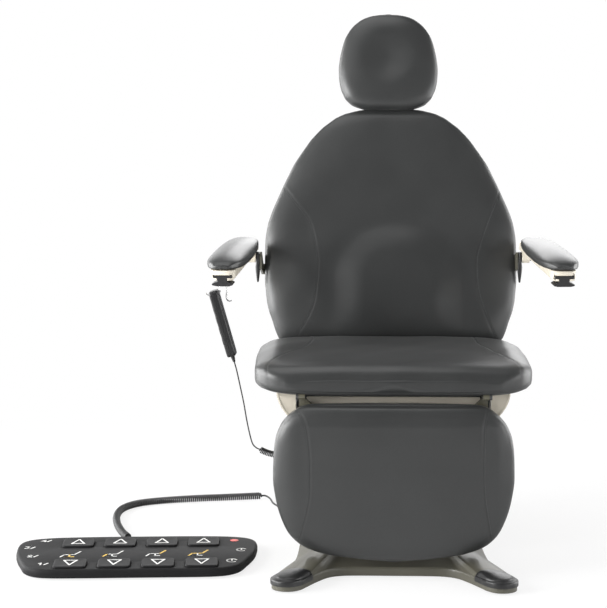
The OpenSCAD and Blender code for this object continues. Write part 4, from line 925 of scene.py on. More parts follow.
@dataclass
class PadForm:
    """A closed padded form lofted through rows of (place along, half width, low, high) in metres."""

    name: str
    rows: np.ndarray
    place: Callable[[np.ndarray, np.ndarray, np.ndarray], np.ndarray]
    facing: Point
    seams: List[Seam] = field(default_factory=list)
    fields: List[Field] = field(default_factory=list)
    row_count: int = 220
    face_count: int = 240
    back_count: int = 60
    welt: float = 0.16
    power: float = PAD_POWER
    back_power: float = PAD_BACK_POWER

    def _rings(self) -> Tuple[np.ndarray, np.ndarray, np.ndarray, np.ndarray]:
        """Works out the form before it is placed.

        Returns:
            For every point its place across, along and in depth, and its share of the depth.
        """
        at = np.linspace(self.rows[0, 0], self.rows[-1, 0], 6000)
        fine = monotone(self.rows[:, 0], self.rows, at)
        fine[:, 0] = at
        pace = np.diff(fine, axis=0)
        pace[:, 2:] *= 0.5
        run = np.concatenate([[0], np.cumsum(np.linalg.norm(pace, axis=1))])
        at = np.interp(np.linspace(0, run[-1], self.row_count), run, at)
        rows = monotone(self.rows[:, 0], self.rows, at)
        slim = (self.rows[:, 3] - self.rows[:, 2]).max() / 2 / self.rows[:, 1].max()
        face = section_places(self.face_count, slim, self.power)
        back = section_places(self.back_count, slim, self.back_power)[1:-1][::-1]
        half, low, high = (rows[:, k:k + 1] for k in (1, 2, 3))
        mid = (low + high) / 2
        depth = np.concatenate([mid + (high - mid) * dome(face, self.power),
                                mid - (mid - low) * dome(back, self.back_power)], axis=1)
        across = half * np.concatenate([face, back])
        along = np.broadcast_to(at[:, None], across.shape).copy()
        share = (depth - low) / np.maximum(high - low, 1e-6)
        return across, along, depth, share

    def build(self, body: str, slot: Slot, nodes: Sequence[str], fill: float) -> bpy.types.Object:
        """Builds the cushion with its seams.

        Args:
            body: Body that it rides on.
            slot: Its material slot.
            nodes: CAD nodes it stands for.
            fill: How tight it is filled, from 0 to 1; not used.

        Returns:
            The cushion.
        """
        across, along, depth, share = self._rings()
        face = smooth_step(0.42, 0.62, share)
        for shape in self.fields:
            depth += face * shape(across, along)
        # painted_seam_shade is painted shade, darkening the colour down in the seam grooves and along the
        # welt, where shade falls.
        painted_seam_shade = np.zeros_like(depth)
        for seam in self.seams:
            d = line_distance(across, along, seam.curve())
            puff = seam.puff * bell(d - 5 * MM, 4 * MM)
            depth -= face * (seam.depth * bell(d, seam.half_width) - puff)
            painted_seam_shade = np.maximum(painted_seam_shade, face * bell(d, 0.8 * seam.half_width))
        # The joint between the face panel and the rear panel, round the edge: drawn in a little, and given
        # painted shade along it
        reach = np.abs(across)
        side = smooth_step(0.6, 0.9, reach / reach.max(axis=1, keepdims=True))
        edge = bell(share - self.welt, 0.035) * side
        across *= 1 - 1.6 * MM * edge / np.maximum(reach, 0.02)
        painted_seam_shade = np.maximum(painted_seam_shade, 0.8 * edge)
        points = self.place(across, along, depth).reshape(-1, 3)
        ends = np.stack([self.place(*(part[k].mean() for part in (across, along, depth))) for k in (0, -1)])
        rows, ring = across.shape
        verts = np.concatenate([points, ends.reshape(2, 3)])
        obj = mesh_object(self.name, verts, skin_faces(rows, ring), FINISH.get(slot))
        # The painted shade is stored as the seam attribute, which darkens the vinyl's colour.
        values = np.concatenate([painted_seam_shade.ravel(), [0, 0]]).astype(np.float32)
        obj.data.attributes.new("seam", "FLOAT", "POINT").data.foreach_set("value", values)
        finish_piece(obj, body, slot, *nodes)
        self._stitch(obj, body)
        return obj

    def _stitch(self, cushion: bpy.types.Object, body: str) -> None:
        """Lays topstitching beside the seams that have it.

        Args:
            cushion: The finished cushion.
            body: Body that it rides on.
        """
        sewn = [s for s in self.seams if s.stitched]
        if not sewn:
            return
        tree = BVHTree.FromPolygons([v.co for v in cushion.data.vertices],
                                    [p.vertices[:] for p in cushion.data.polygons])
        facing = Vector(self.facing)
        lines = []
        for seam in sewn:
            curve = seam.curve()
            side = np.gradient(curve, axis=0)
            side /= np.linalg.norm(side, axis=1)[:, None]
            shifted = curve + seam.stitched * np.stack([-side[:, 1], side[:, 0]], axis=1)
            points, ups = [], []
            for x, a in shifted:
                start = Vector(self.place(x, a, 0.5).reshape(3))
                hit, normal, _, _ = tree.ray_cast(start, -facing, 1.0)
                if hit is not None:
                    points.append(hit + 0.1 * MM * normal)
                    ups.append(normal)
            if len(points) > 2:
                lines.append((np.array(points), np.array(ups)))
        sizes = {"Spacing": 4.2 * MM, "Half Length": 1.5 * MM, "Half Width": 0.42 * MM,
                 "Half Height": 0.34 * MM}
        stitches = REPEAT.lay(f"{self.name}_stitches", lines, sizes, FINISH.get("thread"))
        finish_piece(stitches, body, Slot.VINYL)


def ripple(amount: float, seed: float) -> Field:
    """A faint uneven fill, made of a few fixed waves.

    Args:
        amount: Height of the waves in metres.
        seed: Moves the waves along.

    Returns:
        The change of depth over the cushion's face.
    """
    def shape(x: np.ndarray, a: np.ndarray) -> np.ndarray:
        """Waves at places across and along."""
        return amount * (np.sin(31 * x + 17 * a + seed) * np.sin(23 * a - 9 * x + 2 * seed)
                         + 0.6 * np.sin(53 * x - 41 * a + 3 * seed))
    return shape


def dent(x0: float, a0: float, wide: float, long: float, amount: float) -> Field:
    """A soft hollow, or a swell where the amount is positive, about one place.

    Args:
        x0: Its place across.
        a0: Its place along.
        wide: Its reach across.
        long: Its reach along.
        amount: Its height in metres.

    Returns:
        The change of depth over the cushion's face.
    """
    def shape(x: np.ndarray, a: np.ndarray) -> np.ndarray:
        """Height at places across and along."""
        return amount * np.exp(-((x - x0) / wide) ** 2 - ((a - a0) / long) ** 2)
    return shape


def closed_rows(shares: Sequence[Sequence[float]], low_out: float, high_out: float) -> np.ndarray:
    """Adds a small closing row beyond each end of a table of shares.

    Args:
        shares: Rows that begin with the place along and the half width.
        low_out: Share of the length from the first row to its closing row.
        high_out: Share of the length from the last row to its closing row.

    Returns:
        The longer table.
    """
    table = np.array([shares[0], *shares, shares[-1]], dtype=float)
    table[0, 0] -= low_out
    table[-1, 0] += high_out
    table[[0, -1], 1] *= 0.35
    return table


def pad_rows(table: np.ndarray, start: float, length: float, half_w: float, thick: float) -> np.ndarray:
    """Turns shares of a cushion's size into metres.

    Args:
        table: Rows of place along, half width and thickness as shares.
        start: Place of its first end.
        length: Its length.
        half_w: Half its width.
        thick: Its thickness.

    Returns:
        Rows of place along, half width, low and high.
    """
    half = thick / 2 * table[:, 2]
    return np.stack([start + table[:, 0] * length, table[:, 1] * half_w, thick / 2 - half,
                     thick / 2 + half], axis=1)


@dataclass
class SeatCushion:
    """The seat cushion: a wide pad with a crest at its front and a tucked rear."""

    half_w: float = 0.297
    length: float = 0.483
    front_y: float = -0.345
    bottom_z: float = 0.398
    thick: float = 0.070
    # Place along, half width, underside and top as shares of the thickness
    shares: Sequence[Sequence[float]] = (
        (0, 0.72, 0.06, 0.40), (0.010, 0.80, -0.04, 0.58), (0.025, 0.865, -0.09, 0.71),
        (0.05, 0.925, -0.11, 0.82), (0.09, 0.97, -0.11, 0.90), (0.15, 1.0, -0.08, 0.955),
        (0.30, 1.01, 0, 1.01), (0.45, 1.02, 0, 1.03), (0.60, 1.025, 0, 1.04), (0.75, 1.025, 0, 1.05),
        (0.88, 1.0, 0, 1.05), (0.905, 0.985, 0.16, 1.04), (0.93, 0.965, 0.34, 0.98),
        (0.946, 0.945, 0.40, 0.88), (0.963, 0.91, 0.42, 0.76), (0.98, 0.85, 0.44, 0.67),
        (1, 0.76, 0.50, 0.60))

    def place(self, x: Any, a: Any, d: Any) -> np.ndarray:
        """Across, along from the front, and height above the underside, as a place."""
        return np.stack(np.broadcast_arrays(x, self.front_y + a, self.bottom_z + d), axis=-1)

    def build(self) -> None:
        """Builds the cushion."""
        sizes = (self.length, self.half_w, self.thick, self.thick)
        rows = closed_rows(self.shares, 0.004, 0.004) * sizes
        left = [(-.203, .47), (-.1796, .405), (-.1912, .270), (-.2326, .143), (-.258, .075), (-.270, .03),
                (-.258, .0)]
        right = [(.202, .47), (.2023, .437), (.2048, .300), (.2394, .122), (.262, .062), (.270, .025),
                 (.256, .0)]
        seams = [Seam(left, stitched=2.6 * MM), Seam(right, stitched=-2.6 * MM)]
        fields = [ripple(0.4 * MM, 0.4), dent(-0.262, 0.15, 0.03, 0.16, 5 * MM),
                  dent(0.262, 0.15, 0.03, 0.16, 5 * MM), dent(0, 0.27, 0.15, 0.12, -4 * MM),
                  self._pleats]
        form = PadForm("seat_pad", rows, self.place, (0, 0, 1), seams, fields, row_count=220, face_count=260,
                       back_count=80, power=3.8, back_power=4.5)
        form.build("seat", Slot.VINYL, ["seat_cushion"], 0.8)

    def _pleats(self, x: np.ndarray, a: np.ndarray) -> np.ndarray:
        """Small gathers where the vinyl turns the front corners."""
        corner = bell(x - 0.25, 0.022) * bell(a - 0.004, 0.012)
        return 0.7 * MM * corner * np.sin(2 * math.pi * x / 0.011)


@dataclass
class BackCushion:
    """The back cushion: a tall egg shape with side bolsters and a lumbar swell."""

    half_w: float = 0.303
    length: float = 0.566
    thick: float = 0.075
    start: float = 0.052
    rear: float = 0.028
    swell: float = 0.009
    hinge_y: float = 0.130
    hinge_z: float = 0.398
    lean: float = math.radians(13.5)
    lumbar_x: float = 0.018
    # Place along, half width, thickness and swell as shares
    shares: Sequence[Sequence[float]] = (
        (0, 0.84, 0.25, 0), (0.012, 0.88, 0.6, 0), (0.034, 0.903, 0.85, 0.2), (0.058, 0.920, 0.95, 0.35),
        (0.092, 0.940, 1, 0.5), (0.135, 0.968, 1, 0.7), (0.178, 0.985, 1, 0.85), (0.222, 0.994, 1, 0.95),
        (0.265, 1.002, 1, 1), (0.345, 1.005, 1, 1), (0.431, 1.002, 1, 0.85), (0.505, 0.984, 1, 0.5),
        (0.549, 0.961, 1, 0.35), (0.593, 0.930, 1, 0.2), (0.637, 0.895, 1, 0.1), (0.681, 0.860, 1, 0),
        (0.725, 0.821, 1, 0), (0.770, 0.781, 1, 0), (0.810, 0.734, 0.99, 0), (0.845, 0.690, 0.98, 0),
        (0.881, 0.643, 0.96, 0), (0.917, 0.583, 0.93, 0), (0.935, 0.550, 0.90, 0), (0.952, 0.510, 0.86, 0),
        (0.970, 0.466, 0.79, 0), (0.979, 0.442, 0.74, 0), (0.988, 0.409, 0.67, 0), (0.997, 0.373, 0.58, 0),
        (1.006, 0.316, 0.47, 0), (1.012, 0.27, 0.38, 0), (1.017, 0.20, 0.27, 0))
    shift: float = 0.005

    def local(self, x: Any, up: Any, out: Any) -> np.ndarray:
        """Places points of the leaning back.

        Args:
            x: Places across.
            up: Places up the lean from the hinge.
            out: Places forward of the lean.

        Returns:
            Places in the frame's axes.
        """
        c, s = math.cos(self.lean), math.sin(self.lean)
        return np.stack(np.broadcast_arrays(x, self.hinge_y - out * c + up * s,
                                            self.hinge_z + out * s + up * c), axis=-1)

    def place(self, x: Any, a: Any, d: Any) -> np.ndarray:
        """Across, up the lean, and depth from the cushion's rear, as a place."""
        return self.local(np.asarray(x) + self.shift, a, np.asarray(d) - self.rear)

    @property
    def forward(self) -> Point:
        """Direction that the back faces."""
        return (0.0, -math.cos(self.lean), math.sin(self.lean))

    def _lumbar(self, x: np.ndarray, a: np.ndarray) -> np.ndarray:
        """Arched swell for the small of the back.

        Args:
            x: Places across.
            a: Places along.

        Returns:
            The change of depth.
        """
        q = np.sqrt(((x - self.lumbar_x) / 0.150) ** 2 + (np.maximum(a - 0.195, 0) / 0.140) ** 2)
        rise = 1 - smooth_step(0.52, 1.05, q)
        return (12 * MM * rise - 1.5 * MM * bell(q - 1.1, 0.14)) * smooth_step(0.05, 0.17, a)

    def build(self) -> None:
        """Builds the cushion."""
        table = closed_rows(self.shares, 0.004, 0.003)
        rows = pad_rows(table, self.start, self.length, self.half_w, self.thick)
        rows[:, 3] += (table[:, 3] - 1) * self.swell * np.minimum(1.0, table[:, 2])
        left = [(-.268, .438), (-.2532, .4241), (-.2262, .3871), (-.1944, .3427), (-.1795, .2838),
                (-.1744, .2276), (-.1858, .1352), (-.2213, .0699), (-.235, .055)]
        right = [(.279, .436), (.2666, .422), (.2345, .3457), (.2099, .2723), (.2047, .2308), (.209, .175),
                 (.2228, .1268), (.2461, .0715), (.255, .055)]
        seams = [Seam(left, stitched=-2.6 * MM), Seam(right, stitched=2.6 * MM)]
        fields = [self._lumbar, ripple(0.35 * MM, 1.3), self._bolsters]
        form = PadForm("back_pad", rows, self.place, self.forward, seams, fields, row_count=250,
                       face_count=270, back_count=70, power=3.0)
        form.build("back", Slot.VINYL, ["back_cushion"], 0.8)

    def _bolsters(self, x: np.ndarray, a: np.ndarray) -> np.ndarray:
        """Side bolsters that swell below and above the arms and draw in beside them.

        Args:
            x: Places across.
            a: Places along.

        Returns:
            The change of depth.
        """
        side = smooth_step(0.19, 0.26, np.abs(x))
        swell = bell(a - 0.13, 0.06) + bell(a - 0.335, 0.06)
        pinch = (bell(x + 0.262, 0.045) * bell(a - 0.225, 0.042)
                 + bell(x - 0.272, 0.035) * bell(a - 0.262, 0.042))
        return side * 3 * MM * swell - 7 * MM * pinch


@dataclass
class LegCushion:
    """The leg rest cushion: a broad shield with side seams."""

    half_w: float = 0.255
    length: float = 0.345
    thick: float = 0.063
    back_y: float = -0.305
    top_z: float = 0.385
    swell: float = 0.005
    # Place along from the lower end, half width, thickness and swell as shares
    shares: Sequence[Sequence[float]] = (
        (0, 0.10, 0.25, 0), (0.014, 0.30, 0.45, 0), (0.05, 0.61, 0.75, 0), (0.113, 0.796, 0.93, 0),
        (0.206, 0.898, 1, 0), (0.394, 0.98, 1, 0.3), (0.516, 1, 1, 0.5), (0.64, 0.996, 1, 0.6),
        (0.755, 0.979, 1, 0.8), (0.838, 0.938, 1, 0.8), (0.890, 0.885, 0.97, 0.5), (0.930, 0.82, 0.88, 0.2),
        (0.955, 0.765, 0.70, 0), (0.970, 0.68, 0.34, 0))

    def place(self, x: Any, a: Any, d: Any) -> np.ndarray:
        """Across, height and depth from the cushion's rear, as a place."""
        return np.stack(np.broadcast_arrays(x, self.back_y - np.asarray(d), a), axis=-1)

    def build(self) -> None:
        """Builds the cushion."""
        table = closed_rows(self.shares, 0.003, 0.006)
        rows = pad_rows(table, self.top_z - self.length, self.length, self.half_w, self.thick)
        rows[:, 3] += table[:, 3] * self.swell
        left = [(-.212, .379), (-.2028, .3675), (-.1861, .338), (-.1777, .2829), (-.1760, .23),
                (-.1777, .1765), (-.1945, .1015), (-.2008, .0873), (-.212, .070)]
        right = [(.208, .380), (.199, .3694), (.189, .3378), (.1875, .285), (.1880, .23), (.1908, .179),
                 (.2042, .1002), (.214, .073)]
        seams = [Seam(left, stitched=-2.6 * MM), Seam(right, stitched=2.6 * MM)]
        fields = [ripple(0.35 * MM, 2.1), dent(-0.215, 0.235, 0.022, 0.11, 2 * MM),
                  dent(0.222, 0.235, 0.020, 0.11, 2 * MM), dent(0, 0.20, 0.13, 0.13, 2 * MM)]
        form = PadForm("leg_pad", rows, self.place, (0, -1, 0), seams, fields, row_count=200,
                       face_count=240, back_count=60, power=3.2)
        form.build("leg", Slot.VINYL, ["leg_cushion"], 0.85)


@dataclass
class HeadCushion:
    """The headrest cushion, with a round dimple."""

    back: BackCushion
    half_w: float = 0.121
    length: float = 0.237
    thick: float = 0.060
    foot: float = 0.623
    rear: float = 0.006
    dimple_up: float = 0.769
    dimple_x: float = -0.004
    dimple_r: float = 0.070
    # Place along, half width and thickness as shares
    shares: Sequence[Sequence[float]] = (
        (0, 0.34, 0.25), (0.012, 0.49, 0.45), (0.029, 0.60, 0.62), (0.061, 0.74, 0.77), (0.093, 0.81, 0.86),
        (0.125, 0.868, 0.92), (0.168, 0.912, 0.97), (0.232, 0.963, 1), (0.318, 0.994, 1), (0.425, 1.005, 1),
        (0.532, 0.986, 1), (0.64, 0.946, 1), (0.748, 0.886, 1), (0.834, 0.797, 0.97), (0.888, 0.716, 0.92),
        (0.931, 0.622, 0.84), (0.964, 0.527, 0.73), (0.985, 0.437, 0.62), (0.997, 0.365, 0.52),
        (1.008, 0.27, 0.40), (1.014, 0.17, 0.27))

    def place(self, x: Any, a: Any, d: Any) -> np.ndarray:
        """Across, up the lean, and depth from the cushion's rear, as a place."""
        return self.back.local(x, a, np.asarray(d) - self.rear)

    def _dimple(self, x: np.ndarray, a: np.ndarray) -> np.ndarray:
        """Round hollow with a soft rim."""
        d = np.hypot(x - self.dimple_x, a - self.dimple_up + 0.018) / self.dimple_r
        return -9 * MM * np.cos(np.clip(d, 0, 1) * math.pi / 2) ** 2 + 1.0 * MM * bell(d - 1.05, 0.25)

    def build(self) -> None:
        """Builds the cushion."""
        table = closed_rows(self.shares, 0.003, 0.004)
        rows = pad_rows(table, self.foot, self.length, self.half_w, self.thick)
        fields = [self._dimple, ripple(0.3 * MM, 0.9)]
        form = PadForm("head_pad", rows, self.place, self.back.forward, [], fields, row_count=150,
                       face_count=160, back_count=60, power=2.9, back_power=4)
        form.build("head", Slot.VINYL, ["head_cushion"], 0.8)


@dataclass
class Armrest:
    """The frame of one armrest, and its pad; the right one is the mirror image of the left."""

    side: int
    x: float = 0.340
    y: float = 0.15378
    z: float = 0.65557
    slope: float = math.radians(6.9)
    splay: float = math.radians(5.0)
    length: float = 0.366
    pad_half_w: float = 0.045
    pad_rear: float = -0.010
    pad_thick: float = 0.016
    pad_z: float = 0.0363
    lever_x: float = 0.315
    lever_y: float = 0.154
    lever_top: float = 0.668
    lever_length: float = 0.074
    # Place along, half width and thickness as shares
    shares: Sequence[Sequence[float]] = (
        (0, 0.28, 0.3), (0.012, 0.43, 0.6), (0.04, 0.58, 0.85), (0.10, 0.74, 1), (0.20, 0.88, 1),
        (0.35, 0.99, 1), (0.5, 1.04, 1), (0.65, 1.04, 1), (0.78, 0.99, 1), (0.87, 0.88, 1),
        (0.935, 0.73, 0.95), (0.975, 0.53, 0.8), (1, 0.32, 0.5))
    # Lever: share of the way down, and width, depth and shift to the rear in millimetres
    lever_steps: Sequence[Sequence[float]] = (
        (0, 5.0, 15.0, 0.24), (0.02, 7.4, 22.0, 0.2), (0.16, 8.0, 24.0, 0.12), (0.34, 8.0, 23.0, 0.04),
        (0.42, 10.0, 21.0, 0), (0.50, 11.5, 18.5, 0), (0.62, 10.5, 16.0, 0), (0.78, 8.0, 12.5, 0),
        (0.92, 5.4, 9.5, 0), (0.98, 4.0, 8.0, 0), (1.0, 2.2, 5.0, 0))

    @property
    def word(self) -> str:
        """Name of the side."""
        return "left" if self.side > 0 else "right"

    def local(self, x: Any, y: Any, z: Any) -> np.ndarray:
        """Places points of the armrest's own frame.

        Args:
            x: Places across.
            y: Places along.
            z: Places above.

        Returns:
            Places in the frame's axes.
        """
        x, y, z = np.broadcast_arrays(np.asarray(x, float), np.asarray(y, float), np.asarray(z, float))
        y2 = y * math.cos(self.slope) - z * math.sin(self.slope)
        z2 = y * math.sin(self.slope) + z * math.cos(self.slope)
        x3 = x * math.cos(self.splay) - y2 * math.sin(self.splay)
        y3 = x * math.sin(self.splay) + y2 * math.cos(self.splay)
        return np.stack([self.side * (self.x + x3), self.y + y3, self.z + z2], axis=-1)

    def place(self, x: Any, a: Any, d: Any) -> np.ndarray:
        """Across, back from the rear end, and height above the shell, as a place."""
        return self.local(x, self.pad_rear - np.asarray(a), self.pad_z + np.asarray(d))

    def _crown(self, x: np.ndarray, a: np.ndarray) -> np.ndarray:
        """Rise of the pad along its middle.

        Args:
            x: Places across.
            a: Places along.

        Returns:
            The change of depth.
        """
        across = np.clip(1 - (x / self.pad_half_w) ** 2, 0, 1)
        run = self.length + self.pad_rear
        ends = np.clip(1 - (2 * np.abs(a - run / 2) / run) ** 4, 0, 1)
        return (5 + 8 * smooth_step(0, 0.65, a / run)) * MM * across * ends

    def build(self) -> None:
        """Builds the pad and dresses the shell, lever and carriage."""
        run = self.pad_rear + self.length + 0.001
        rows = pad_rows(closed_rows(self.shares, 0.002, 0.002), 0, run, self.pad_half_w, self.pad_thick)
        form = PadForm(f"arm_pad_{self.word}_cushion", rows, self.place, (0, 0, 1), [], [self._crown],
                       row_count=150, face_count=70, back_count=30, welt=0.2, power=2.6)
        form.build(f"arm_{self.word}", Slot.VINYL, [f"arm_pad_{self.word}"], 0.9)
        rounded_copy(f"arm_shell_{self.word}", f"arm_{self.word}", Slot.CREAM, 1.6 * MM)
        self._lever()
        rounded_copy(f"arm_clamp_{self.word}", f"clamp_{self.word}", Slot.NEAR_BLACK, 1.0 * MM)

    def _lever(self) -> None:
        """Builds the release lever: a blade that tapers from its hub down to its tip."""
        rings = []
        for t, wide, deep, shift in self.lever_steps:
            ring = round_rect(wide * MM / 2, deep * MM / 2, 0.45 * min(wide, deep) * MM)
            flat = (ring + (self.lever_x, self.lever_y + shift * MM)) * (self.side, 1)
            rings.append(level(flat, self.lever_top - t * self.lever_length))
        blade = lofted(f"arm_lever_{self.word}_blade", [rings], FINISH.get(Slot.NEAR_BLACK), 50)
        finish_piece(blade, f"lever_{self.word}", Slot.NEAR_BLACK, f"arm_lever_{self.word}")


# Cords


def curl_line(route: np.ndarray, curls: int, radius: float, ref: Point, steps: int = 14) -> np.ndarray:
    """Helix about a route, its radius growing from nothing over the first curl and back at the last.

    Args:
        route: Points of the route.
        curls: Number of curls.
        radius: Radius of the helix in metres.
        ref: Direction that the route never takes.
        steps: Points in each curl.

    Returns:
        Points of the helix.
    """
    n = curls * steps
    middle = even_lengths(route, n + 1)
    along = np.gradient(middle, axis=0)
    along /= np.linalg.norm(along, axis=1)[:, None]
    side = np.cross(np.array(ref, float), along)
    side /= np.linalg.norm(side, axis=1)[:, None]
    up = np.cross(along, side)
    j = np.arange(n + 1)
    grow = np.clip(np.minimum(j, n - j) / steps, 0, 1)[:, None]
    turn = (2 * math.pi * j / steps)[:, None]
    return middle + radius * grow * (np.cos(turn) * side + np.sin(turn) * up)


def cord_object(name: str, points: np.ndarray, diameter: float) -> Tuple[bpy.types.Object, float]:
    """Makes a round cord along points.

    Args:
        name: Name of the object.
        points: Points of its middle line.
        diameter: Its diameter in metres.

    Returns:
        The curve object and its length in metres.
    """
    curve = bpy.data.curves.new(name, "CURVE")
    curve.dimensions = "3D"
    curve.bevel_depth = diameter / 2
    curve.bevel_resolution = 2
    curve.use_fill_caps = True
    spline = curve.splines.new("POLY")
    spline.points.add(len(points) - 1)
    spline.points.foreach_set("co", np.concatenate([points, np.ones((len(points), 1))], axis=1).ravel())
    spline.use_smooth = True
    curve.materials.append(FINISH.get(Slot.CORD))
    return linked(name, curve), float(np.linalg.norm(np.diff(points, axis=0), axis=1).sum())


@dataclass
class CurlyCord:
    """A cord with a curly length between two plain ones."""

    diameter: float
    coil_diameter: float
    curls: int
    start: Sequence[Point]
    coil: Sequence[Point]
    end: Sequence[Point]

    def wire(self, name: str, ref: Point, start_steps: int) -> Tuple[bpy.types.Object, float]:
        """Makes the cord.

        Args:
            name: Name of the object.
            ref: Direction that the curly length never takes.
            start_steps: Steps from one point to the next of the plain start.

        Returns:
            The curve object and its length in metres.
        """
        radius = (self.coil_diameter - self.diameter) / 2
        helix = curl_line(round_curve(self.coil, 12), self.curls, radius, ref)
        start, end = round_curve(self.start, start_steps), round_curve(self.end, 6)
        points = np.concatenate([start[:-1], helix, end[1:]])
        return cord_object(name, points, self.diameter)


@dataclass
class FootControlCord(CurlyCord):
    """Curly cord on the floor from the foot control to the socket at the side of the base."""

    diameter: float = 4.6 * MM
    coil_diameter: float = 18.6 * MM
    curls: int = 134
    start: Sequence[Point] = ((-.603, -.0603, .013), (-.603, -.055, .013), (-.605, -.046, .011),
                              (-.608, -.038, .010))
    coil: Sequence[Point] = ((-.608, -.038, .010), (-.632, .020, .010), (-.656, .104, .010),
                             (-.669, .188, .010), (-.665, .262, .010), (-.636, .318, .010),
                             (-.582, .352, .010), (-.500, .380, .010), (-.410, .400, .010),
                             (-.322, .420, .010))
    end: Sequence[Point] = ((-.322, .420, .010), (-.312, .420, .0095), (-.300, .404, .006),
                            (-.290, .365, .003), (-.278, .333, .003), (-.268, .295, .003),
                            (-.262, .255, .004), (-.254, .222, .009), (-.244, .206, .013),
                            (-.234, .201, .014), (-.226, .200, .014))

    def build(self) -> None:
        """Builds the cord."""
        obj, length = self.wire("foot_control_cord", (0, 0, 1), 6)
        finish_piece(obj, "base", Slot.CORD, "pedal_lead", "pedal_coil")


@dataclass
class PendantCord(CurlyCord):
    """Cord of the pendant: curly from its socket under the seat, then plain up to the pendant."""

    diameter: float = 3 * MM
    coil_diameter: float = 15 * MM
    curls: int = 44
    start: Sequence[Point] = ((-.160, -.175, .300), (-.160, -.175, .290), (-.160, -.175, .280))
    coil: Sequence[Point] = ((-.160, -.175, .280), (-.168, -.175, .256), (-.190, -.177, .240),
                             (-.216, -.180, .234), (-.244, -.184, .235), (-.272, -.188, .241),
                             (-.292, -.190, .250))
    end: Sequence[Point] = ((-.292, -.190, .250), (-.300, -.190, .254), (-.308, -.190, .264),
                            (-.315, -.190, .290), (-.321, -.190, .320), (-.326, -.190, .350),
                            (-.332, -.191, .380), (-.340, -.192, .418), (-.3435, -.1925, .433),
                            (-.347, -.1925, .445))

    def build(self) -> None:
        """Builds the cord."""
        obj, length = self.wire("pendant_cord", (0, 1, 0), 4)
        finish_piece(obj, "seat", Slot.CORD, "pendant_lead", "pendant_coil")


# Base


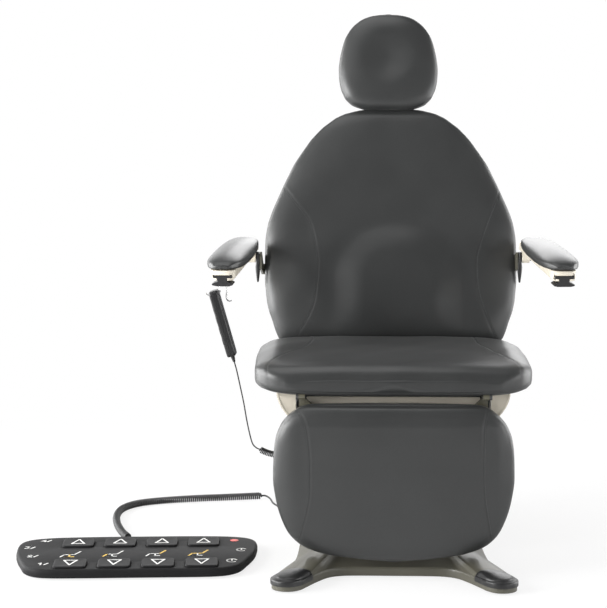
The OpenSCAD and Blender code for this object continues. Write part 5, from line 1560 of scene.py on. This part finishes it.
@dataclass
class BaseCover:
    """The base cover: a low skirted form that rises from its rim to the column, with four foot caps."""

    half_w: float = 0.254
    half_len: float = 0.413
    mid_y: float = -0.040
    column_y: float = 0.040
    rim_z: float = 0.022
    top_z: float = 0.060
    skirt_z: float = 0.003
    rise_power: float = 1.6
    neck: float = 0.1363
    wall: float = 0.003
    cap_x: float = 0.203
    cap_r: float = 0.066
    cap_z: float = 0.0135
    # Outline: shares of the half width and half length, front right quarter
    shares: Sequence[Tuple[float, float]] = (
        (0, 0.690), (0.236, 0.690), (0.413, 0.697), (0.531, 0.731), (0.622, 0.809), (0.709, 0.908),
        (0.756, 0.961), (0.819, 0.995), (0.898, 1), (0.969, 0.976), (1, 0.932), (0.984, 0.872),
        (0.937, 0.804), (0.874, 0.714), (0.835, 0.605), (0.815, 0.460), (0.807, 0.266), (0.807, 0))
    # Foot caps: share of the way out from their middle, and lift above the cover's skin in millimetres
    cap_steps: Sequence[Tuple[float, float]] = (
        (1.0, 0.15), (0.985, 1.65), (0.955, 2.55), (0.90, 3.15), (0.84, 3.6), (0.80, 5.25), (0.76, 6.45),
        (0.68, 7.2), (0.56, 7.95), (0.40, 8.7), (0.22, 9.15), (0.06, 9.3))

    def outline(self) -> np.ndarray:
        """Makes the whole outline from its quarter.

        Returns:
            Its points, round and anticlockwise.
        """
        q = [np.array(p) for p in self.shares]
        ring = [(p[0], -p[1]) for p in q] + [(p[0], p[1]) for p in q[-2::-1]]
        ring += [(-p[0], p[1]) for p in q[1:]] + [(-p[0], -p[1]) for p in q[-2:0:-1]]
        return round_curve(np.array(ring) * (self.half_w, self.half_len) + (0, self.mid_y), 6, closed=True)

    def neck_points(self, ring: np.ndarray) -> np.ndarray:
        """Finds where the cover meets the square about the column.

        Args:
            ring: Points of an outline.

        Returns:
            Points of the square in line with them.
        """
        d = ring - (0, self.column_y)
        k = np.abs(d).max(axis=1, keepdims=True) / self.neck
        return d / k + (0, self.column_y)

    def rise(self, t: Any) -> Any:
        """Height of the skin at a share of the way from the rim to the neck."""
        return self.rim_z + (self.top_z - self.rim_z) * (1 - (1 - t) ** self.rise_power)

    def height(self, points: np.ndarray) -> np.ndarray:
        """Finds the height of the cover's skin.

        Args:
            points: Points of the floor.

        Returns:
            Height over each of them.
        """
        ring = self.outline()
        angle = np.arctan2(ring[:, 1] - self.column_y, ring[:, 0])
        order = np.argsort(angle)
        reach = np.hypot(ring[:, 0], ring[:, 1] - self.column_y)
        d = points - (0, self.column_y)
        far = np.interp(np.arctan2(d[:, 1], d[:, 0]), angle[order], reach[order], period=2 * math.pi)
        near = self.neck * np.hypot(d[:, 0], d[:, 1]) / np.abs(d).max(axis=1)
        return self.rise(np.clip((far - np.hypot(d[:, 0], d[:, 1])) / (far - near), 0, 1))

    def build(self) -> None:
        """Builds the cover and its caps, and dresses what stands on them."""
        ring = self.outline()
        inner = grown(ring, -self.wall)
        necks, inner_necks = self.neck_points(ring), self.neck_points(inner)
        rings = []
        for z, grow in ((self.skirt_z, -0.6 * MM), (self.skirt_z + 0.6 * MM, 0), (self.rim_z - 5 * MM, 0),
                        (self.rim_z - 2.2 * MM, -0.4 * MM), (self.rim_z - 0.6 * MM, -1.6 * MM)):
            rings.append(level(grown(ring, grow), z))
        for t in np.linspace(0.012, 1, 40) ** 1.2:
            rings.append(level(ring + (necks - ring) * t, self.rise(t)))
        for t in np.linspace(1, 0.02, 12):
            rings.append(level(inner + (inner_necks - inner) * t, self.rise(t) - self.wall))
        rings.append(level(inner, self.skirt_z))
        faces = skin_faces(len(rings), len(ring), caps=False, wrap=True)
        cover = mesh_object("base_cover_skin", np.concatenate(rings), faces, FINISH.get(Slot.OLIVE), 38)
        finish_piece(cover, "base", Slot.OLIVE, "base_cover")
        self._caps(ring)
        for node, slot in (("base_frame", Slot.OLIVE), ("glides", Slot.NEAR_BLACK),
                           ("base_sockets", Slot.NEAR_BLACK), ("column_outer", Slot.STEEL),
                           ("lift_cylinder", Slot.DARK_STEEL), ("shroud_lower", Slot.OLIVE),
                           ("control_box", Slot.STEEL)):
            rounded_copy(node, "base", slot)

    def _caps(self, ring: np.ndarray) -> None:
        """Builds the four foot caps: domes over the feet with a raised rib and a thin lower rim.

        Args:
            ring: The cover's outline.
        """
        forms = []
        for sx in (-1, 1):
            for sy in (-1, 1):
                middle = np.array([sx * (self.cap_x - 0.004), self.mid_y + sy * (self.half_len - 0.030)])
                circle = np.array([sx * self.cap_x, self.mid_y + sy * (self.half_len - 0.001)])
                edge = self._cap_edge(ring, middle, circle)
                rings = [level(edge, self.cap_z)]
                for share, lift in self.cap_steps:
                    flat = middle + (edge - middle) * share
                    rings.append(level(flat, self.height(flat) + lift * MM))
                forms.append(rings)
        caps = lofted("foot_cap_domes", forms, FINISH.get(Slot.NEAR_BLACK), 50)
        finish_piece(caps, "base", Slot.NEAR_BLACK, "foot_caps")

    def _cap_edge(self, ring: np.ndarray, middle: np.ndarray, circle: np.ndarray) -> np.ndarray:
        """Finds the edge of one cap: its circle cut off by the outline, which is grown a little.

        Args:
            ring: The cover's outline.
            middle: Middle of the cap, inside both.
            circle: Middle of its circle.

        Returns:
            Points of the edge, at even angles about the middle.
        """
        out = []
        wide = grown(ring, 2.6 * MM)
        for a in np.linspace(0, 2 * math.pi, 97)[:-1]:
            d = np.array([math.cos(a), math.sin(a)])
            off = middle - circle
            b = float(d @ off)
            reach = -b + math.sqrt(max(b * b - float(off @ off) + self.cap_r ** 2, 0))
            p, q = wide, np.roll(wide, -1, axis=0)
            e = q - p
            cross = d[0] * e[:, 1] - d[1] * e[:, 0]
            w = p - middle
            with np.errstate(divide="ignore", invalid="ignore"):
                t = (w[:, 0] * e[:, 1] - w[:, 1] * e[:, 0]) / cross
                s = (w[:, 0] * d[1] - w[:, 1] * d[0]) / cross
            ok = (t > 0) & (s >= 0) & (s <= 1)
            reach = min(reach, float(t[ok].min())) if ok.any() else reach
            out.append(middle + reach * d)
        return np.array(out)


# Foot control

# Strokes of the print, in millimetres about its middle
DIGITS: Dict[int, Line2] = {
    1: ((-3, 4), (1, 8), (1, -8)),
    2: ((-4, 5), (0, 8), (4, 4), (-4, -8), (4, -8)),
    3: ((-4, 8), (4, 8), (0, 1), (4, -3), (0, -8), (-4, -6)),
    4: ((3, -8), (3, 8), (-5, -3), (5, -3))}
# A chair's seat, back, leg rest and stand, each with the movements that turn it yellow
CHAIR_FIGURE: Sequence[Tuple[Line2, Sequence[str]]] = (
    (((-13, -4), (4, -4)), ("tilt",)),
    (((4, -4), (13, 9)), ("back", "tilt")),
    (((-13, -4), (-19, -13)), ("leg", "tilt")),
    (((-4, -4), (-4, -13), (-12, -13), (4, -13)), ("lift",)))


def walled(work: bmesh.types.BMesh, first: Sequence[Any], second: Sequence[Any]) -> None:
    """Joins two loops by a wall of four-sided faces.

    Args:
        work: The mesh that is being edited.
        first: Corners of one loop.
        second: Corners of the other, as many.
    """
    n = len(first)
    for i in range(n):
        work.faces.new((first[i], first[(i + 1) % n], second[(i + 1) % n], second[i]))


def filled(work: bmesh.types.BMesh, loops: Sequence[Sequence[Any]]) -> None:
    """Fills the area between an outer loop and the loops in it.

    Args:
        work: The mesh that is being edited.
        loops: Corners of each loop.
    """
    edges = []
    for loop in loops:
        for pair in zip(loop, [*loop[1:], loop[0]]):
            edges.append(work.edges.get(pair) or work.edges.new(pair))
    bmesh.ops.triangle_fill(work, use_beauty=True, use_dissolve=False, edges=edges)


@dataclass
class FootControl:
    """The foot control: a low housing with eight foot buttons and printed marks."""

    x: float = -0.565
    y: float = -0.217
    turn: float = math.radians(4)
    length: float = 0.538
    depth: float = 0.292
    top: float = 0.023
    button_w: float = 0.070
    button_d: float = 0.056
    button_top: float = 0.030
    # Spacing of the buttons across and along, and middle of the eight
    button_pitch: Tuple[float, float] = (0.094, 0.177)
    button_middle: Tuple[float, float] = (0.007, -0.018)
    # Outline: shares of the half length and half depth, right half from the front to the rear
    shares: Sequence[Tuple[float, float]] = (
        (0, -1), (0.45, -1), (0.65, -0.985), (0.77, -0.92), (0.86, -0.75), (0.915, -0.45), (0.955, -0.2),
        (0.985, 0.06), (1, 0.35), (1, 0.55), (0.975, 0.72), (0.91, 0.85), (0.80, 0.93), (0.65, 0.975),
        (0.35, 1), (0, 1))
    # Places of the print on the floor; the round marks also have a size in millimetres
    chairs: Sequence[Tuple[str, float, float]] = (
        ("lift", -.703, -.237), ("leg", -.610, -.229), ("back", -.516, -.222), ("tilt", -.423, -.216))
    numbers: Sequence[Tuple[int, float, float]] = (
        (1, -.757, -.324), (2, -.792, -.260), (3, -.813, -.188), (4, -.788, -.126))
    rounds: Sequence[Tuple[float, float, float]] = ((-.333, -.191, 10), (-.347, -.284, 11))
    red_mark: Tuple[float, float] = (-.355, -.107)

    def local(self, points: Any) -> np.ndarray:
        """Places points of the control's own frame on the floor.

        Args:
            points: Points with their height.

        Returns:
            Places in the frame's axes.
        """
        p = np.asarray(points, float)
        c, s = math.cos(self.turn), math.sin(self.turn)
        return np.stack([self.x + p[..., 0] * c - p[..., 1] * s, self.y + p[..., 0] * s + p[..., 1] * c,
                         p[..., 2]], axis=-1)

    def unplaced(self, x: float, y: float) -> Tuple[float, float]:
        """Finds a place on the floor in the control's own frame.

        Args:
            x: Its x in the frame's axes.
            y: Its y in the frame's axes.

        Returns:
            Its place across and along.
        """
        c, s = math.cos(self.turn), math.sin(self.turn)
        dx, dy = x - self.x, y - self.y
        return dx * c + dy * s, -dx * s + dy * c

    def outline(self) -> np.ndarray:
        """The outline, round and anticlockwise."""
        ring = list(self.shares) + [(-p[0], p[1]) for p in self.shares[-2:0:-1]]
        return round_curve(np.array(ring) * (self.length / 2, self.depth / 2), 6, closed=True)

    def button_place(self, i: int, j: int) -> Tuple[float, float]:
        """Middle of a button in column i, row j."""
        return ((i - 1.5) * self.button_pitch[0] + self.button_middle[0],
                (j - 0.5) * self.button_pitch[1] + self.button_middle[1])

    def button_ring(self, inset: float, corner: float) -> np.ndarray:
        """Outline of a button about its middle, by its inset and corner radius in millimetres."""
        return round_rect(self.button_w / 2 - inset * MM, self.button_d / 2 - inset * MM, corner * MM)

    def build(self) -> None:
        """Builds the housing, buttons and print."""
        self._housing()
        for j, first in ((1, 1), (0, 5)):
            for i in range(4):
                self._button(i, j, first + i)
        self._print()
        rounded_copy("pedal_base", "base", Slot.NEAR_BLACK)
        rounded_copy("pedal_relief", "base", Slot.NEAR_BLACK, 0.4 * MM)

    def _housing(self) -> None:
        """Builds the housing with its eight windows."""
        ring = self.outline()
        work = bmesh.new()
        loops = []
        for inset, z in ((5, 19.5), (5, 4), (3.0, 4.0), (0.8, 5.4), (0, 8), (0, 14.5), (0.7, 18), (2.2, 20.6),
                         (4.6, 22.2), (7.5, 23)):
            points = self.local(level(grown(ring, -inset * MM), z * MM))
            loops.append([work.verts.new(p) for p in points])
        for low, high in zip(loops[:-1], loops[1:]):
            walled(work, low, high)
        tops, roofs = [loops[-1]], [loops[0]]
        for i in range(4):
            for j in range(2):
                steps = []
                for grow, z in ((1.9, 23.0), (1.3, 22.8), (1.0, 22.2), (1.0, 19.5)):
                    hole = self.button_ring(-grow, 8 + grow) + self.button_place(i, j)
                    steps.append([work.verts.new(p) for p in self.local(level(hole, z * MM))])
                for high, low in zip(steps[:-1], steps[1:]):
                    walled(work, high, low)
                tops.append(steps[0])
                roofs.append(steps[-1])
        filled(work, tops)
        filled(work, roofs)
        bmesh.ops.recalc_face_normals(work, faces=work.faces)
        obj = bmesh_object("foot_control_housing", work, FINISH.get("foot_control"), 42)
        finish_piece(obj, "base", Slot.NEAR_BLACK, "pedal_housing")

    def tilt(self, y: Any) -> Any:
        """Height of a button's top at a depth from its middle: its far edge stands high."""
        return self.button_top - 1.2 * MM + y * 0.055

    def _button(self, i: int, j: int, number: int) -> None:
        """Builds one button: a wedge with a dished top on a flange.

        Args:
            i: Its column.
            j: Its row.
            number: Its number.
        """
        middle = self.button_place(i, j)
        rings = [level(self.button_ring(inset, 8) + middle, z * MM)
                 for inset, z in ((-2.0, 16.5), (-2.0, 19.2), (0, 19.3), (0, 25.5))]
        for inset, drop in ((0, 2.6), (0.5, 1.2), (1.4, 0.35), (3.0, 0), (6.0, 0.15), (11.0, 0.6),
                            (17.0, 0.9)):
            hole = self.button_ring(inset, max(8 - inset * 0.5, 2))
            rings.append(level(hole + middle, self.tilt(hole[:, 1]) - drop * MM))
        obj = lofted(f"foot_button_{number}", [[self.local(r) for r in rings]], FINISH.get(Slot.KEYS), 42)
        finish_piece(obj, f"button_{number}", Slot.KEYS, f"pedal_button_{number}")
        self._triangle(i, j, number)

    def _triangle(self, i: int, j: int, number: int) -> None:
        """Prints the outlined triangle on a button: pointing away in the far row, near in the other.

        Args:
            i: The button's column.
            j: Its row.
            number: Its number.
        """
        bx, by = self.button_place(i, j)
        point = 1 if j else -1
        lift = (4 if j else 3) * MM
        low, high = lift - point * 14 * MM, lift + point * 17 * MM
        corners = [(x, y, self.tilt(y) - 0.45 * MM) for x, y in ((-14 * MM, low), (14 * MM, low), (0, high))]
        places = [(bx + x, by + y, z) for x, y, z in corners]
        lines = [(places[k], places[(k + 1) % 3]) for k in range(3)]
        obj = self.strokes(f"foot_button_{number}_print", lines, 3.6 * MM, Ink.WHITE)
        finish_piece(obj, f"button_{number}", Slot.KEYS)

    def strokes(self, name: str, lines: Sequence[Sequence[Point]], width: float,
                ink: Ink) -> bpy.types.Object:
        """Flat printed strokes in the control's own frame.

        Args:
            name: Name of the object.
            lines: Lines of places, each with its height.
            width: Width of the strokes in metres.
            ink: Colour of the print.

        Returns:
            The object.
        """
        verts: List[Any] = []
        faces: List[Tuple[int, ...]] = []
        thick = 0.25 * MM
        for line in lines:
            for p, q in zip(line[:-1], line[1:]):
                p, q = np.array(p), np.array(q)
                d = (q - p)[:2] / max(np.linalg.norm((q - p)[:2]), 1e-9)
                side = np.array([-d[1], d[0], 0]) * width / 2
                out = np.array([d[0], d[1], 0]) * width * 0.42
                base = len(verts)
                corners = [p - out - side, q + out - side, q + out + side, p - out + side]
                verts += corners + [c + (0, 0, thick) for c in corners]
                for f in ((0, 1, 2, 3), (4, 5, 6, 7), (0, 1, 5, 4), (1, 2, 6, 5), (2, 3, 7, 6), (3, 0, 4, 7)):
                    faces.append(tuple(base + k for k in f))
        return mesh_object(name, self.local(np.array(verts)), faces, FINISH.get(ink), 30)

    def _print(self) -> None:
        """Prints the chair pictograms, plain numbers and marks on the housing."""
        z = self.top - 0.05 * MM
        white, yellow = self._pictograms(z)
        white += self._number_lines(z) + self._round_lines(z + 0.3 * MM)
        self._disc(z)
        for name, lines, width, ink in (("marks_white", white, 3.4 * MM, Ink.WHITE),
                                        ("marks_yellow", yellow, 4.2 * MM, Ink.YELLOW)):
            finish_piece(self.strokes(f"foot_control_{name}", lines, width, ink), "base", Slot.NEAR_BLACK)

    def _pictograms(self, z: float) -> Tuple[List[List[Point]], List[List[Point]]]:
        """Draws the chair pictograms.

        Args:
            z: Height of the print.

        Returns:
            The white lines, and the yellow lines of the parts that move.
        """
        white: List[List[Point]] = []
        yellow: List[List[Point]] = []
        for what, wx, wy in self.chairs:
            cx, cy = self.unplaced(wx, wy)
            for line, movements in CHAIR_FIGURE:
                lines = yellow if what in movements else white
                lines.append([(cx + 1.25 * px * MM, cy + 2.0 * py * MM, z) for px, py in line])
        return white, yellow

    def _number_lines(self, z: float) -> List[List[Point]]:
        """Draws the four plain numbers, each with a slanting stroke beside it.

        Args:
            z: Height of the print.

        Returns:
            The lines.
        """
        lines: List[List[Point]] = []
        for value, wx, wy in self.numbers:
            cx, cy = self.unplaced(wx, wy)
            lines.append([(cx + px * MM, cy + py * MM, z) for px, py in DIGITS[value]])
            lines.append([(cx + 9 * MM, cy - 7 * MM, z), (cx + 16 * MM, cy + 5 * MM, z)])
        return lines

    def _round_lines(self, z: float) -> List[List[Point]]:
        """Draws the two round marks, open rings with a bar.

        Args:
            z: Height of the print.

        Returns:
            The lines.
        """
        lines: List[List[Point]] = []
        for wx, wy, size in self.rounds:
            cx, cy = self.unplaced(wx, wy)
            lines.append([(cx + size * MM * math.cos(a), cy + 1.2 * size * MM * math.sin(a), z)
                          for a in np.linspace(0.5, 5.4, 12)])
            lines.append([(cx, cy, z), (cx, cy + size * MM, z)])
        return lines

    def _disc(self, z: float) -> None:
        """Prints the red disc.

        Args:
            z: Height of the print.
        """
        angles = np.linspace(0, 2 * math.pi, 32, endpoint=False)
        circle = np.stack([np.cos(angles), np.sin(angles)], axis=1)
        rings = [self.local(level(circle * radius * MM + self.unplaced(*self.red_mark), z + up * MM))
                 for radius, up in ((9.5, -0.6), (9.5, 0.3), (9.2, 0.5))]
        disc = lofted("foot_control_mark_red", [rings], FINISH.get(Ink.RED), 40)
        finish_piece(disc, "base", Slot.NEAR_BLACK)


# Pendant


@dataclass
class Pendant:
    """The hand pendant: a slim body with a seam line, a relief and a membrane keypad."""

    arm: Armrest
    height: float = 0.150
    width: float = 0.058
    thick: float = 0.019
    corner: float = 0.009
    swing: float = math.radians(16)
    out: float = 0.022
    drop: float = 0.012
    relief: float = 0.014
    clamp_along: float = -0.350
    clamp_foot: float = 0.0015
    key_w: float = 0.0085
    key_h: float = 0.0075
    key_x: float = 0.0115
    key_top: float = -0.040
    key_pitch: float = 0.0245

    def local(self, points: np.ndarray) -> np.ndarray:
        """Places points of the hanging pendant's own frame.

        Args:
            points: Places in thickness, in width, and in height from its top.

        Returns:
            Places in the frame's axes.
        """
        base = self.arm.local(0.0, self.clamp_along, self.clamp_foot)
        c, s = math.cos(self.swing), math.sin(self.swing)
        p = np.asarray(points, float)
        x, y, z = p[..., 0], p[..., 1], p[..., 2]
        return np.stack([base[0] - self.out + x * c - z * s, base[1] + y,
                         base[2] - self.drop + x * s + z * c], axis=-1)

    def build(self) -> None:
        """Builds the body and keypad, and dresses its hook."""
        rings = []
        for t, inset in ((-1, 3.2), (-0.97, 1.7), (-0.86, 0.6), (-0.62, 0), (-0.06, 0), (-0.04, 0.5),
                         (0.04, 0.5), (0.06, 0), (0.62, 0), (0.86, 0.6), (0.97, 1.7), (1, 3.2)):
            ring = round_rect(self.width / 2 - inset * MM, self.height / 2 - inset * MM, self.corner)
            taper = 1 - 0.10 * np.clip((-ring[:, 1] / self.height + 0.5), 0, 1)
            flat = np.stack([ring[:, 0] * taper, ring[:, 1] - self.height / 2], axis=1)
            rings.append(self.local(upright(flat, t * self.thick / 2)))
        body = lofted("pendant_body", [rings], FINISH.get(Slot.NEAR_BLACK), 40)
        finish_piece(body, "clamp_right", Slot.NEAR_BLACK, "pendant")
        self._relief()
        self._keys()
        rounded_copy("pendant_hook", "clamp_right", Slot.WIRE, 0.2 * MM)

    def _relief(self) -> None:
        """Builds the ribbed strain relief under the pendant."""
        turn = np.linspace(0, 2 * math.pi, 25)[:-1]
        circle = np.stack([np.cos(turn), np.sin(turn)], axis=1)
        rings = []
        for t in np.arange(25) / 24:
            radius = (5.2 - 2.4 * t + 0.35 * math.cos(2 * math.pi * 6 * t)) * MM
            z = 1 * MM - self.height - t * (self.relief + 1 * MM)
            rings.append(self.local(level(radius * circle, z)))
        obj = lofted("pendant_relief", [rings], FINISH.get(Slot.CORD), 60)
        finish_piece(obj, "clamp_right", Slot.NEAR_BLACK)

    def _key(self, y: float, z: float) -> List[np.ndarray]:
        """Makes one raised key of the outer face.

        Args:
            y: Its place in width.
            z: Its height from the pendant's top.

        Returns:
            Its rings, from below the face to its top.
        """
        rings = []
        for inset, rise in ((0, -0.4), (0, 0.7), (0.5, 0.95)):
            ring = round_rect(self.key_w - inset * MM, self.key_h - inset * MM, self.key_h * 0.45, 4)
            rings.append(self.local(upright(ring + (y, z), -self.thick / 2 - rise * MM)))
        return rings

    def _keys(self) -> None:
        """Builds the eight keys of the membrane keypad."""
        forms = [self._key(side * self.key_x, self.key_top - row * self.key_pitch)
                 for side in (-1, 1) for row in range(4)]
        obj = lofted("pendant_keys", forms, FINISH.get(Slot.KEYS), 40)
        finish_piece(obj, "clamp_right", Slot.NEAR_BLACK)


# Metalwork that is seen below and behind the cushions


@dataclass(frozen=True)
class Dressing:
    """Which rigid nodes are shown as rounded copies, with body, slot and width of the rounding."""

    nodes: Sequence[Tuple[str, str, Slot, float]] = (
        ("column_mid", "lift_mid", Slot.STEEL, 0.6), ("lift_stage", "lift_mid", Slot.STEEL, 0.6),
        ("shroud_mid", "lift_mid", Slot.OLIVE, 0.8), ("column_inner", "carriage", Slot.STEEL, 0.6),
        ("lift_rod", "carriage", Slot.STEEL, 0.6), ("shroud_top", "carriage", Slot.OLIVE, 0.8),
        ("lift_head", "carriage", Slot.DARK_STEEL, 0.8), ("tilt_actuator", "carriage", Slot.NEAR_BLACK, 0.8),
        ("tilt_rod", "tilt_rod", Slot.STEEL, 0.6), ("seat_frame", "seat", Slot.DARK_STEEL, 0.6),
        ("seat_skirt", "seat", Slot.CREAM, 0.9), ("leg_actuator", "seat", Slot.NEAR_BLACK, 0.8),
        ("back_actuator", "seat", Slot.NEAR_BLACK, 0.8), ("pendant_socket", "seat", Slot.NEAR_BLACK, 0.5),
        ("leg_frame", "leg", Slot.OLIVE_DARK, 0.8), ("leg_rod", "leg_rod", Slot.STEEL, 0.6),
        ("back_frame", "back", Slot.DARK_STEEL, 0.6), ("back_rod", "back_rod", Slot.STEEL, 0.6),
        ("back_cover", "back", Slot.CREAM, 1.2), ("arm_brackets", "back", Slot.OLIVE, 0.8),
        ("head_post", "head_post", Slot.NEAR_BLACK, 0.6), ("head_plate", "head", Slot.NEAR_BLACK, 0.8))

    def build(self) -> None:
        """Dresses every node of the list."""
        for node, body, slot, radius in self.nodes:
            rounded_copy(node, body, slot, radius * MM)


# Studio


@dataclass(frozen=True)
class Lamp:
    """A soft rectangular light; a mirrored one is only seen in reflections."""

    name: str
    place: Point
    size: Tuple[float, float]
    power: float
    mirrored: bool = False


@dataclass
class Studio:
    """Camera, floor, world and soft lights."""

    image_px: float = 607.0
    focal_px: float = 1523.0
    sensor: float = 36.0
    eye: Point = (-0.0955, -3.5133, 0.885)
    yaw: float = -0.0298
    pitch: float = 0.0935
    aim: Point = (0, 0, 0.6)
    lamps: Sequence[Lamp] = (
        Lamp("key", (-3.3, -1.9, 1.4), (1.6, 2.0), 185.0),
        Lamp("fill", (3.3, -1.9, 1.2), (1.2, 1.6), 38.0),
        Lamp("top", (-0.6, -0.2, 3.4), (2.4, 2.0), 30.0),
        Lamp("rear", (0.0, 3.3, 1.5), (4.4, 1.8), 42.0, True),
        Lamp("rim_left", (-2.3, 0.7, 1.0), (2.0, 2.4), 105.0, True),
        Lamp("rim_right", (2.3, 0.7, 1.0), (2.0, 2.4), 72.0, True),
        Lamp("side_left", (-2.2, -0.35, 0.85), (0.9, 1.5), 26.0),
        Lamp("side_right", (2.2, -0.25, 0.75), (0.9, 1.1), 9.0),
        Lamp("low", (2.1, -2.8, 0.4), (1.4, 0.6), 9.0),
        Lamp("behind", (0.6, 3.2, 2.4), (2.4, 2.0), 45.0))

    def camera(self) -> None:
        """Sets up the camera at the photograph's viewing angle."""
        data = bpy.data.cameras.new("camera")
        data.sensor_fit = "HORIZONTAL"
        data.sensor_width = self.sensor
        data.lens = self.sensor * self.focal_px / self.image_px
        obj = linked("camera", data)
        obj.location = self.eye
        flat = math.cos(self.pitch)
        forward = Vector((math.sin(self.yaw) * flat, math.cos(self.yaw) * flat, -math.sin(self.pitch)))
        obj.rotation_euler = forward.to_track_quat("-Z", "Y").to_euler()
        bpy.context.scene.camera = obj

    def lights(self) -> None:
        """Hangs the soft lights: a key at the left, a weaker fill at the right, cards above and behind."""
        for lamp in self.lamps:
            data = bpy.data.lights.new(lamp.name, "AREA")
            data.shape = "RECTANGLE"
            data.size, data.size_y = lamp.size
            data.energy = lamp.power
            obj = linked(lamp.name, data)
            obj.location = lamp.place
            obj.rotation_euler = (Vector(self.aim) - Vector(lamp.place)).to_track_quat("-Z", "Y").to_euler()
            obj.visible_camera = False
            obj.visible_diffuse = not lamp.mirrored

    def world(self) -> None:
        """White to the camera, softer as a light."""
        world = bpy.data.worlds.new("studio")
        bpy.context.scene.world = world
        world.use_nodes = True
        tree = world.node_tree
        tree.nodes.clear()
        ray = tree.nodes.new("ShaderNodeLightPath")
        dim, bright = tree.nodes.new("ShaderNodeBackground"), tree.nodes.new("ShaderNodeBackground")
        dim.inputs["Color"].default_value = (0.97, 0.98, 1.0, 1)
        dim.inputs["Strength"].default_value = 0.30
        bright.inputs["Color"].default_value = (1, 1, 1, 1)
        bright.inputs["Strength"].default_value = 1.0
        seen = tree.nodes.new("ShaderNodeMath")
        seen.operation = "MAXIMUM"
        tree.links.new(ray.outputs["Is Camera Ray"], seen.inputs[0])
        tree.links.new(ray.outputs["Is Transmission Ray"], seen.inputs[1])
        mix = tree.nodes.new("ShaderNodeMixShader")
        tree.links.new(seen.outputs[0], mix.inputs[0])
        tree.links.new(dim.outputs[0], mix.inputs[1])
        tree.links.new(bright.outputs[0], mix.inputs[2])
        out = tree.nodes.new("ShaderNodeOutputWorld")
        tree.links.new(mix.outputs[0], out.inputs["Surface"])

    def floor(self) -> None:
        """Lays the floor, white to the camera where no shadow falls."""
        half = 14.0
        g = Graph("floor_white")
        ray = g.tree.nodes.new("ShaderNodeLightPath")
        glow = g.tree.nodes.new("ShaderNodeEmission")
        glow.inputs["Color"].default_value = (1, 1, 1, 1)
        glow.inputs["Strength"].default_value = 1.0
        mix = g.tree.nodes.new("ShaderNodeMixShader")
        reach = g.node("ShaderNodeVectorMath", {"operation": "LENGTH"}, {0: g.place()}, "Value")
        share = Sock(g, ray.outputs["Is Camera Ray"]) * (0.80 + 0.20 * reach.ramp(0.9, 2.0))
        g.tree.links.new(share.socket, mix.inputs[0])
        g.tree.links.new(g.shader.outputs["BSDF"], mix.inputs[1])
        g.tree.links.new(glow.outputs[0], mix.inputs[2])
        g.tree.links.new(mix.outputs[0], g.output.inputs["Surface"])
        material = g.surface(base_color=(0.93, 0.93, 0.93), roughness=0.9)
        corners = [(-half, -half, 0), (half, -half, 0), (half, half, 0), (-half, half, 0)]
        obj = mesh_object("floor", corners, [(0, 1, 2, 3)], material, recalculate=False)

    def build(self) -> None:
        """Sets up the studio."""
        scene = bpy.context.scene
        scene.view_settings.view_transform = "Standard"
        self.lights()
        self.world()
        self.floor()


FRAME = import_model()
REPEAT = LineRepeater()


def main() -> None:
    """Builds the chair's pieces in order."""
    studio = Studio()
    studio.camera()
    FootControlCord().build()
    PendantCord().build()
    BaseCover().build()
    FootControl().build()
    Dressing().build()
    SeatCushion().build()
    back = BackCushion()
    back.build()
    LegCushion().build()
    HeadCushion(back).build()
    arms = {side: Armrest(side) for side in (-1, 1)}
    for arm in arms.values():
        arm.build()
    Pendant(arms[-1]).build()
    studio.build()


if __name__ == "__main__":
    logging.basicConfig(level=logging.INFO, format="%(message)s")
    main()
